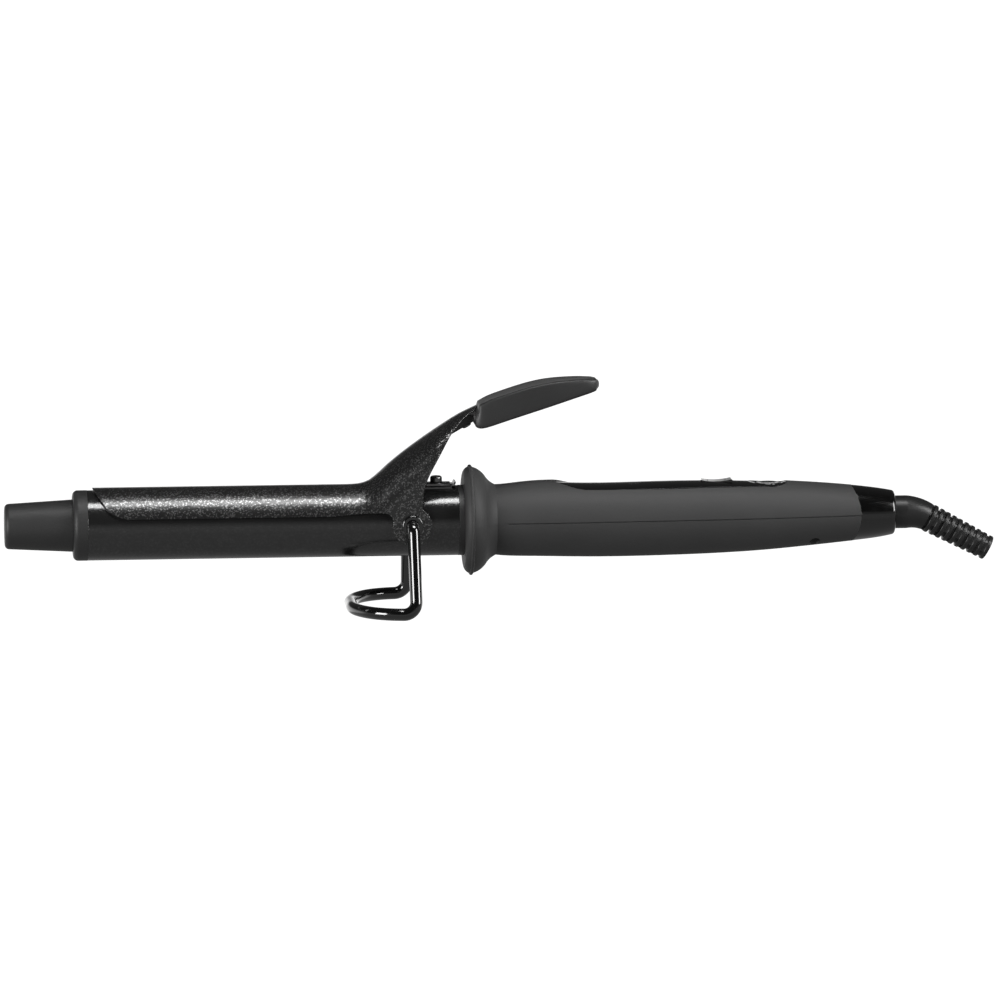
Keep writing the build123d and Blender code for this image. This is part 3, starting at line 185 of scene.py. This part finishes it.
def grey(level, warmth=0.0):
    """A linear grey from a screen level of 0 to 255, a little warm or cool."""
    value = (level / 255) ** 2.2
    return (value * (1 + warmth), value, value * (1 - warmth))


finishes = {}
print("materials are made by Finish")

# %% [markdown]
# ## The flecked coating
#
# The barrel and the clamp are coated: a black glaze full of tiny silver flakes, baked on
# and lightly polished. Paint like this is often faked with noise in the colour alone, and
# then it looks like dust. Real flakes are small mirrors that lie at slightly different
# angles, so here the surface is split into cells a third of a millimetre across, and each
# draws a random number. The highest draws become bright flakes, and every cell leans the
# surface a little its own way. A slow noise on top varies the gloss, as a hand-polished
# glaze does. The clamp gets the same recipe with larger, brighter flakes.

# %% Flecked coating
def flecked_coating(name, flake_size, levels, flake_level, share, lean, roughness, coat):
    made = Finish(name, Coat_Roughness=0.1, Coat_IOR=1.5, Specular_IOR_Level=0.5)
    flake = made.cells(flake_size, out="Color")
    draw = made.node("SeparateColor", {}, {0: flake})
    bright = draw.above(1 - share, 0.16)
    fine = made.noise(flake_size * 0.6, detail=1.0)
    haze = made.noise(0.03, detail=3.0)
    body = made.mix(fine, grey(levels[0]), grey(levels[1]))
    made.put(**{
        "Base Color": made.mix(bright, body, grey(flake_level)),
        "Metallic": bright * 0.1 + 0.85,
        "Roughness": haze * 0.06 + bright * 0.05 + (roughness - 0.03),
        "Coat Weight": haze * 0.1 + coat,
    })
    tilt = made.node("VectorMath", {"operation": "SUBTRACT"}, {0: flake, 1: (0.5, 0.5, 0.5)})
    tilt = made.node("VectorMath", {"operation": "SCALE"}, {0: tilt, "Scale": lean})
    rounded = made.soft_edges(0.00025)
    leaning = made.node("VectorMath", {"operation": "ADD"}, {0: rounded, 1: tilt})
    made.put(Normal=made.node("VectorMath", {"operation": "NORMALIZE"}, {0: leaning}))
    return made.material


finishes["barrel_coating"] = flecked_coating(
    "barrel_coating",
    flake_size=0.0003,
    levels=(62, 72),
    flake_level=88,
    share=0.15,
    lean=0.03,
    roughness=0.175,
    coat=0.1,
)
finishes["clamp_coating"] = flecked_coating(
    "clamp_coating",
    flake_size=0.00042,
    levels=(50, 74),
    flake_level=118,
    share=0.2,
    lean=0.065,
    roughness=0.28,
    coat=0.05,
)
print("flecked coatings for the barrel and the clamp")

# %% [markdown]
# ## Moulded plastics
#
# Most of the iron is black plastic, and what tells one from the next is its surface. The
# handle and guard have a soft-touch skin: almost no shine, a fine even tooth, and a faint
# bloom where it is handled. The tip and collar are a harder plastic with spark-eroded
# texture from the mould. The thumb rest is smoother, with a satin sheen. One function makes
# them all from a row of numbers, because they differ in amount and not in kind. The paint of
# the raised signs is made the same way, dulled to a grey so that it doesn't glare.

# %% Matt and satin plastics
def moulded_plastic(name, level, roughness, tooth, depth, bloom, edge=0.0002):
    made = Finish(name, Specular_IOR_Level=0.3)
    grain = made.cells(tooth)
    grit = made.noise(tooth * 0.7, detail=2.0)
    cloud = made.noise(0.022, detail=4.0, roughness=0.6)
    patch = made.noise(0.0015, detail=2.0)
    shade = made.mix(cloud, grey(level - 3), grey(level + 4))
    made.put(**{
        "Base Color": made.mix(patch.above(0.72, 0.2) * bloom, shade, grey(level + 16)),
        "Roughness": cloud * 0.1 + grit * 0.06 + (roughness - 0.08),
        "Normal": made.bump(grain + grit * 0.6, depth, under=made.soft_edges(edge)),
    })
    return made.material


# grey level, roughness, size and depth of the tooth, bloom, and the edge radius if it differs
plastics = {
    "soft_touch": (50, 0.6, 0.00045, 0.00002, 0.12),
    "tip_plastic": (40, 0.48, 0.0006, 0.00003, 0.2, 0.0003),
    "socket_plastic": (46, 0.45, 0.0005, 0.00002, 0.15),
    "rest_plastic": (42, 0.4, 0.0005, 0.000012, 0.1),
    "relief_rubber": (32, 0.34, 0.0004, 0.00001, 0.1),
    "switch_plastic": (60, 0.45, 0.0005, 0.00001, 0.1),
    "swivel_plastic": (200, 0.45, 0.0006, 0.00001, 0.1),
    "sign_white": (118, 0.5, 0.0003, 0.000004, 0.1),
}
for name, numbers in plastics.items():
    finishes[name] = moulded_plastic(name, *numbers)
print("moulded plastics:", len(plastics))

# %% [markdown]
# ## Gloss: piano black and stove enamel
#
# The end ring, the panel and its buttons are polished black plastic; the stand and the two
# pivot bosses are steel wire under glossy enamel. A perfect mirror looks like a rendering,
# so both get what real gloss has: the enamel's orange peel, a very slow swelling of the
# surface, and the polished plastic's faint smears, which only change its roughness.

# %% Gloss black
def gloss_black(name, level, peel, peel_depth, smear, coat=1.0, edge=0.00025):
    made = Finish(name, Coat_Roughness=0.05, Coat_IOR=1.5, Specular_IOR_Level=0.5)
    swell = made.noise(peel, detail=1.0)
    wipe = made.noise(0.004, detail=5.0, roughness=0.65, along=made.stretched(0.35, 1.0, 1.0))
    dust = made.cells(0.0011).above(0.08, 0.05)
    made.put(**{
        "Base Color": made.mix(dust, grey(level + 30), grey(level)),
        "Roughness": wipe.above(0.58, 0.3) * smear + 0.1,
        "Coat Weight": (1 - wipe * 0.25) * coat,
        "Normal": made.bump(swell, peel_depth, under=made.soft_edges(edge)),
    })
    return made.material


finishes["gloss_black"] = gloss_black("gloss_black", 16, 0.006, 0.000012, 0.14, coat=0.6)
finishes["gloss_enamel"] = gloss_black("gloss_enamel", 18, 0.0016, 0.000012, 0.08)
finishes["smoked_lens"] = gloss_black("smoked_lens", 26, 0.01, 0.000004, 0.05)
print("gloss black, enamel and the smoked lens")

# %% [markdown]
# ## Metals
#
# Every metal has a grain from how it was made: sheet is rolled along its length, screws are
# turned, castings have none. Stretching noise along one axis gives rolled grain. The
# blackened screws and the spring are the same recipe with a dark colour, worn brighter
# where the noise peaks, as oxide wears off the high spots first.

# %% Plain, blackened and coloured metals
def grained_metal(name, low, high, roughness, worn=0.0, tint=(1, 1, 1), edge=0.00015):
    made = Finish(name, Metallic=1.0)
    grain = made.noise(0.0004, detail=3.0, along=made.stretched(0.12, 1.0, 1.0))
    wear = made.noise(0.0012, detail=4.0, roughness=0.7).above(0.62, 0.12)
    colours = [tuple(a * b for a, b in zip(grey(level), tint)) for level in (low, high)]
    made.put(**{
        "Base Color": made.mix(wear * worn, made.mix(grain, *colours), grey(high + 40)),
        "Roughness": grain * 0.14 + (roughness - 0.07) - wear * worn * 0.1,
        "Normal": made.bump(grain, 0.000006, under=made.soft_edges(edge)),
    })
    return made.material


finishes["dark_steel"] = grained_metal("dark_steel", 92, 128, 0.34, worn=0.6)
finishes["spring_steel"] = grained_metal("spring_steel", 82, 110, 0.3, worn=0.35)
finishes["bright_steel"] = grained_metal("bright_steel", 180, 200, 0.3)
finishes["aluminium"] = grained_metal("aluminium", 205, 222, 0.35)
finishes["brass"] = grained_metal("brass", 205, 220, 0.25, tint=(1.0, 0.78, 0.42))
print("five metals")

# %% [markdown]
# ## What is inside
#
# Nobody sees the heater, the board or the leads unless the iron is opened, but an opened
# view is a good use for a model like this, so each gets its own simple finish: sintered
# ceramic with pores, a glass-fibre board with its weave, an amber glass bead, and leads in
# braided glass sleeving.

# %% Ceramic, board, glass bead and sleeving
def speckled(name, colour, other, roughness, size, mark=0.6):
    made = Finish(name, Specular_IOR_Level=0.5)
    spots = made.noise(size, detail=3.0).above(mark, 0.12)
    made.put(**{
        "Base Color": made.mix(spots, colour, other),
        "Roughness": spots * 0.1 + roughness,
        "Normal": made.bump(spots, -0.00001, under=made.soft_edges(0.0002)),
    })
    return made.material


def woven(name, colour, other, pitch, depth):
    made = Finish(name, Specular_IOR_Level=0.3)
    threads = {"Vector": made.place, "Scale": 0.05 / pitch}
    weave = [made.node("TexWave", {"bands_direction": axis}, threads) for axis in ("X", "Y")]
    cross = weave[0] * weave[1]
    made.put(**{
        "Base Color": made.mix(cross, colour, other),
        "Roughness": 0.75 - cross * 0.2,
        "Normal": made.bump(cross, depth),
    })
    return made.material


finishes["ceramic"] = speckled("ceramic", grey(235, 0.03), grey(205, 0.04), 0.4, 0.0004)
amber, deep_amber = (0.3, 0.1, 0.02), (0.2, 0.06, 0.01)
finishes["bead_glass"] = speckled("bead_glass", amber, deep_amber, 0.08, 0.001)
green, light_green = (0.01, 0.09, 0.03), (0.02, 0.13, 0.05)
finishes["board_green"] = woven("board_green", green, light_green, 0.0006, 0.000004)
finishes["lead_sleeve"] = woven("lead_sleeve", grey(190, 0.05), grey(225, 0.04), 0.0007, 0.00003)
print("finishes for the inside")

# %% [markdown]
# ## Putting the finishes on
#
# The record says which slot each solid's finish comes from, so one loop dresses them all
# and no solid can be forgotten.

# %% Dress the solids
slot_of = {entry["node"]: entry["material_slot"] for entry in frame["record"]["subparts"]}
for name, node in nodes.items():
    node.data.materials.clear()
    node.data.materials.append(finishes[slot_of[name]])
print("dressed", len(nodes), "solids in", len(set(slot_of.values())), "finishes")

# %% [markdown]
# ## Modelling by hand, in code
#
# The pieces below are shaped as they would be in edit mode: start from a primitive, pick
# faces or edges, extrude, scale, bevel. Picking with the mouse becomes picking by a test, so
# these helpers start a primitive alone in edit mode, select what passes the test, and finish
# a piece by leaving edit mode, setting its finish and tying it to the body it moves with.


def start(name, add, place, stretch, **settings):
    """A primitive at its place and size, alone in edit mode with nothing selected."""
    bpy.ops.object.select_all(action="DESELECT")
    add(location=place, **settings)
    piece = bpy.context.active_object
    piece.scale = stretch
    piece.name = piece.data.name = name
    bpy.ops.object.transform_apply(location=True, rotation=True, scale=True)
    bpy.ops.object.mode_set(mode="EDIT")
    bpy.ops.mesh.select_all(action="DESELECT")
    return piece


def pick(piece, kind, test):
    """Select only the faces or edges that pass the test."""
    bpy.ops.mesh.select_mode(type="FACE" if kind == "faces" else "EDGE")
    bpy.ops.mesh.select_all(action="DESELECT")
    shape = bmesh.from_edit_mesh(piece.data)
    chosen = [item for item in getattr(shape, kind) if test(item)]
    for item in chosen:
        item.select_set(True)
    bmesh.update_edit_mesh(piece.data)
    return len(chosen)


def along_x(edge):
    step = edge.verts[1].co - edge.verts[0].co
    return abs(step.x) > 0.8 * step.length


def finish_piece(piece, finish, body, smooth=None):
    """Leave edit mode, face outwards, and tie the piece to its body and its finish."""
    bpy.ops.mesh.select_all(action="SELECT")
    bpy.ops.mesh.remove_doubles(threshold=1e-6)
    bpy.ops.mesh.normals_make_consistent(inside=False)
    bpy.ops.object.mode_set(mode="OBJECT")
    if smooth is None:
        bpy.ops.object.shade_smooth()
    else:
        bpy.ops.object.shade_smooth_by_angle(angle=math.radians(smooth))
    piece.data.materials.append(finishes[finish])
    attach(piece, body)
    print(piece.name, "has", len(piece.data.polygons), "faces")


def smoothed(piece, levels):
    """Subdivision, applied. It is called before finish_piece, so it goes back to edit mode."""
    bpy.ops.object.mode_set(mode="OBJECT")
    rounder = piece.modifiers.new("rounder", "SUBSURF")
    rounder.levels = rounder.render_levels = levels
    bpy.ops.object.modifier_apply(modifier=rounder.name)
    bpy.ops.object.mode_set(mode="EDIT")


print("helpers ready")

# %% [markdown]
# ## The thumb rest
#
# The rest is a plump moulded cap, pushed onto the clamp's tongue. Its sides are flat, its
# long top edges softly rounded, its front corners rounder still, and its top is dished for
# the thumb. A solid cut from one outline has the right silhouette but hard corners, so the
# rest is extruded here station by station, its long edges are bevelled, and a subdivision
# surface melts the corners. The nose that wraps the tongue keeps its machined shape: it is
# the front part of the solid, cut off and kept.

# %% Thumb rest: stations along its length
# place along the iron, underside, top and half of the width, in millimetres
stations = [
    (173.1, 36.7, 40.9, 5.2),
    (173.9, 34.9, 42.3, 6.4),
    (175.6, 34.2, 44.0, 7.3),
    (179.0, 35.1, 45.9, 7.9),
    (185.0, 37.2, 47.8, 8.4),
    (193.0, 39.75, 50.35, 8.6),
    (200.5, 42.05, 51.95, 8.25),
    (207.5, 44.2, 52.5, 7.3),
    (213.0, 45.85, 52.75, 6.1),
    (216.3, 46.75, 52.6, 5.2),
    (218.2, 47.45, 52.3, 4.4),
    (219.4, 48.2, 51.75, 3.3),
    (219.9, 49.2, 50.9, 1.8),
]
mm = 0.001
slab = 0.2  # the thickness that the first extrusion starts from
first = stations[0]
rest = start(
    "thumb_rest_skin",
    bpy.ops.mesh.primitive_cube_add,
    ((first[0] - 0.5 * slab) * mm, 0, 0.5 * (first[1] + first[2]) * mm),
    (slab * mm, 2 * first[3] * mm, (first[2] - first[1]) * mm),
    size=1,
)
pick(rest, "faces", lambda face: face.normal.x > 0.9)
for last, here in zip(stations, stations[1:]):
    middle = [0.5 * (row[1] + row[2]) for row in (last, here)]
    step = ((here[0] - last[0]) * mm, 0, (middle[1] - middle[0]) * mm)
    bpy.ops.mesh.extrude_region_move(TRANSFORM_OT_translate={"value": step})
    grow = (1, here[3] / last[3], (here[2] - here[1]) / (last[2] - last[1]))
    bpy.ops.transform.resize(value=grow, center_override=(here[0] * mm, 0, middle[1] * mm))
print("stations extruded:", len(stations))

# %% Thumb rest: edges, dish and corners
dish_start, dish_end = 0.176, 0.2165


def is_corner(edge):
    """An edge along the rest where two faces meet steeply."""
    if not along_x(edge):
        return False
    one, other = edge.link_faces[0].normal, edge.link_faces[1].normal
    return abs(one.dot(other)) < 0.6


def is_dished(face):
    return face.normal.z > 0.75 and dish_start < face.calc_center_median().x < dish_end


corners = pick(rest, "edges", is_corner)
bpy.ops.mesh.bevel(offset=1.3 * mm, segments=2, affect="EDGES")
tops = pick(rest, "faces", is_dished)
bpy.ops.mesh.inset(thickness=1.5 * mm)
bpy.ops.transform.translate(value=(0, 0, -0.45 * mm))
smoothed(rest, 2)
finish_piece(rest, "rest_plastic", "clamp")
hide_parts("thumb_rest")
print("corner edges", corners, "dished faces", tops)

# %% Thumb rest: the nose round the tongue
def copy_of(node, name):
    """A solid's shape as a new piece in edit mode, its loose triangles merged."""
    bpy.ops.object.select_all(action="DESELECT")
    piece = nodes[node].copy()
    piece.data = nodes[node].data.copy()
    piece.name = piece.data.name = name
    # a copy carries the solid's own labels and tie, and would be taken for it
    for key in list(piece.keys()):
        del piece[key]
    piece.parent = None
    piece.hide_render = piece.hide_viewport = False
    bpy.context.scene.collection.objects.link(piece)
    piece.select_set(True)
    bpy.context.view_layer.objects.active = piece
    piece.data.materials.clear()
    bpy.ops.object.mode_set(mode="EDIT")
    bpy.ops.mesh.select_all(action="SELECT")
    bpy.ops.mesh.remove_doubles(threshold=1e-6)
    return piece


nose_end = (0.1731, 0, 0)
nose = copy_of("thumb_rest", "thumb_rest_nose")
bpy.ops.mesh.bisect(plane_co=nose_end, plane_no=(1, 0, 0), use_fill=True, clear_outer=True)
finish_piece(nose, "rest_plastic", "clamp", smooth=35)

# %% [markdown]
# ## The leaf spring
#
# The spring is screwed down at its front, and its free end bears on the clamp. When the
# clamp opens, the spring flattens. A rigid piece would be cut by the clamp there; here the
# spring is a plain copy of the solid, tied to the iron, and it does not flatten.

# %% Leaf spring, a rigid copy of the solid
spring = copy_of("leaf_spring", "leaf_spring_blade")
finish_piece(spring, "spring_steel", "iron", smooth=35)
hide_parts("leaf_spring")
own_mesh(spring)

# %% [markdown]
# ## Signs on the keys
#
# Keys like these need signs, and the common ones are used here: a minus and a plus on the
# rocker, and on the round button a ring with a bar, for a power switch. They stand between a
# tenth and a fifth of a millimetre proud, as a mould would make them. Each is placed at the
# height where a ray dropped from above meets the key.

# %% Signs: bars and a ring
def top_of(node, x, y):
    """The height at which a ray dropped at x, y meets the solid."""
    found, place, normal, face = nodes[node].ray_cast(Vector((x, y, 0.1)), Vector((0, 0, -1)))
    assert found, (node, x, y)
    return place.z


def raised_bar(name, node, body, x, y, length_x, length_y):
    """A small bar with a bevelled top, sunk a little into the key."""
    stretch = (length_x * mm, length_y * mm, 0.5 * mm)
    place = (x, y, top_of(node, x, y) - 0.13 * mm)
    bar = start(name, bpy.ops.mesh.primitive_cube_add, place, stretch, size=1)
    pick(bar, "faces", lambda face: face.normal.z > 0.9)
    bpy.ops.mesh.inset(thickness=0.07 * mm)
    bpy.ops.transform.translate(value=(0, 0, 0.05 * mm))
    pick(bar, "edges", lambda edge: abs(edge.verts[0].co.z - edge.verts[1].co.z) > 0.3 * mm)
    bpy.ops.mesh.bevel(offset=0.06 * mm, segments=2, affect="EDGES")
    finish_piece(bar, "sign_white", body, smooth=40)


low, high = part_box("temp_rocker")
minus_x, plus_x = low[0] + 2.1 * mm, high[0] - 2.1 * mm
raised_bar("minus_bar", "temp_rocker", "rocker_key", minus_x, 0, 0.32, 1.7)
raised_bar("plus_bar_across", "temp_rocker", "rocker_key", plus_x, 0, 0.32, 1.7)
raised_bar("plus_bar_along", "temp_rocker", "rocker_key", plus_x, 0, 1.7, 0.32)

low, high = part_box("power_button")
button_x = 0.5 * (low[0] + high[0])
ring_radius = 1.45 * mm
ring_height = top_of("power_button", button_x + ring_radius, 0)
ring = start(
    "power_sign_ring",
    bpy.ops.mesh.primitive_torus_add,
    (button_x, 0, ring_height),
    (1, 1, 0.7),
    major_radius=ring_radius,
    minor_radius=0.17 * mm,
    major_segments=40,
    minor_segments=10,
)
opening = Vector((button_x + ring_radius, 0, ring_height))
opening_reach = 0.62 * mm
gap = pick(
    ring, "faces", lambda face: (face.calc_center_median() - opening).length < opening_reach
)
bpy.ops.mesh.delete(type="FACE")
bpy.ops.mesh.select_mode(type="EDGE")
bpy.ops.mesh.select_non_manifold(extend=False)
bpy.ops.mesh.fill_holes(sides=0)
finish_piece(ring, "sign_white", "power_key", smooth=50)
raised_bar("power_sign_bar", "power_button", "power_key", button_x + 1.25 * mm, 0, 1.5, 0.32)
print("faces cut for the ring's gap:", gap)

# %% [markdown]
# ## The studio
#
# The iron hangs over a floor that lies well below it, so that no shadow crosses it.
# The floor itself is almost black and takes almost no light from the lamps; it is pale by
# its own glow. The glow is dimmest under the iron, a painted shade, a little lighter further
# out, and white only far behind: a white table right under black gloss would fill its
# whole underside with light and flatten it.

# %% Floor
middle_x = 0.18
floor_height = -0.6
bpy.ops.object.select_all(action="DESELECT")
bpy.ops.mesh.primitive_plane_add(size=120, location=(middle_x, 0, floor_height))
floor = bpy.context.active_object
floor.name = "studio_floor"
bpy.ops.object.transform_apply(location=True)
# the floor's paleness is its own glow, with a painted shade under the iron
glow_floor = Finish("glow_floor_painted_shade", Roughness=1.0, Specular_IOR_Level=0.0)
middle = (middle_x, 0, floor_height)
outward = glow_floor.node("VectorMath", {"operation": "SUBTRACT"}, {0: glow_floor.place, 1: middle})
reach = glow_floor.node("VectorMath", {"operation": "LENGTH"}, {0: outward}, out="Value")
behind = glow_floor.node("SeparateXYZ", {}, {0: glow_floor.place}, out="Y").above(0.8, 1.6)
glow = glow_floor.mix(behind, (0.36, 0.36, 0.36), (1.1, 1.1, 1.1))
glow_floor.put(**{
    "Base Color": (0.02, 0.02, 0.02),
    # painted shade under the iron: the glow is 0.3 within about 1.75 m of it, 0.36 further out
    # in front and 1.1 far behind
    "Emission Color": glow_floor.mix(reach.above(1.75, 0.9), (0.3, 0.3, 0.3), glow),
    "Emission Strength": 1.0,
})
floor.data.materials.append(glow_floor.material)

print("floor at", floor_height)

# %% [markdown]
# ## The room
#
# Black gloss shows what stands around it more than its own colour, so the room's light is
# part of the finish. It is bright behind the iron and dim in front, and bright at the level
# of the floor's edge and almost dark overhead. Each is a fade along one axis of the
# direction that the light comes from, and the room is the two multiplied. The class for
# materials makes these nodes too, once it is told where a world keeps them.

# %% World
class Room(Finish):
    """A world, whose nodes are made and multiplied as a material's are."""

    def __init__(self, name):
        self.world = bpy.data.worlds.new(name)
        self.world.use_nodes = True
        self.tree = self.world.node_tree
        self.shader = self.tree.nodes["Background"]
        self.place = self.node("TexCoord", out="Generated")

    def fade(self, axis, fade_start, fade_end, first_level, last_level):
        """The first level before the fade along this axis, and the last level after it."""
        direction = self.node("SeparateXYZ", {}, {0: self.place}, out=axis)
        sockets = {0: direction, 1: fade_start, 2: fade_end, 3: first_level, 4: last_level}
        return self.node("MapRange", {"interpolation_type": "SMOOTHSTEP"}, sockets)


room = Room("studio")
front_to_back = room.fade("Y", -0.2, 0.5, 0.22, 1.0)
low_to_high = room.fade("Z", 0.05, 0.24, 1.0, 0.05)
room.put(Color=front_to_back * low_to_high)
bpy.context.scene.world = room.world
print("room with two fades")

# %% [markdown]
# ## The softboxes
#
# One softbox overhead draws a bright edge along the top of the barrel, the clamp and the
# thumb rest. One on each side draws the small glints on the pivot bosses, the wire and the
# ends of the handle.

# %% Softboxes
def softbox(name, place, aim, width, height, power):
    """A rectangular light that faces the point aim."""
    light = bpy.data.lights.new(name, "AREA")
    light.shape = "RECTANGLE"
    light.size = width
    light.size_y = height
    light.energy = power
    made = bpy.data.objects.new(name, light)
    bpy.context.scene.collection.objects.link(made)
    made.location = place
    made.rotation_euler = (Vector(aim) - Vector(place)).to_track_quat("-Z", "Y").to_euler()
    return made


def around(turn_angle, height_angle, reach):
    """The place seen from the iron's middle at these angles, in degrees, reach metres away."""
    turned, raised = math.radians(turn_angle), math.radians(height_angle)
    return (
        middle_x + reach * math.sin(turned) * math.cos(raised),
        -reach * math.cos(turned) * math.cos(raised),
        reach * math.sin(raised),
    )


softbox("overhead", (0.27, -0.28, 1.0), (0.27, 0, 0), 0.6, 0.3, 8)
softbox("left_softbox", around(-58, 8, 1.2), (middle_x, 0, 0), 0.5, 0.6, 14)
softbox("right_softbox", around(60, 25, 1.4), (middle_x, 0, 0), 0.5, 0.9, 20)
print("three softboxes")

# %% [markdown]
# ## The camera
#
# A product is best seen from far away through a long lens, so that the barrel's two
# ends look the same size. The camera stands a little to the tip's side of square and a
# little above, and is rolled by a quarter of a degree.

# %% Camera
side_angle = math.radians(4.25)
height_angle = math.radians(8.0)
roll = math.radians(-0.25)
distance = 4.1
aim = Vector((0.18305, 0, 0.0072))
camera = bpy.data.objects.new("camera", bpy.data.cameras.new("camera"))
bpy.context.scene.collection.objects.link(camera)
toward = Vector((
    -math.sin(side_angle) * math.cos(height_angle),
    -math.cos(side_angle) * math.cos(height_angle),
    math.sin(height_angle),
))
camera.location = aim + toward * distance
turn = toward.to_track_quat("Z", "Y").to_matrix() @ Matrix.Rotation(roll, 3, "Z")
camera.rotation_euler = turn.to_euler()
sensor_width = 36
width_in_view = 0.36938  # metres across the picture at the iron's distance
camera.data.sensor_width = sensor_width
camera.data.lens = sensor_width * distance / width_in_view
camera.data.clip_end = 200
bpy.context.scene.camera = camera
bpy.context.scene.view_settings.view_transform = "Standard"
print("lens", round(camera.data.lens), "mm")
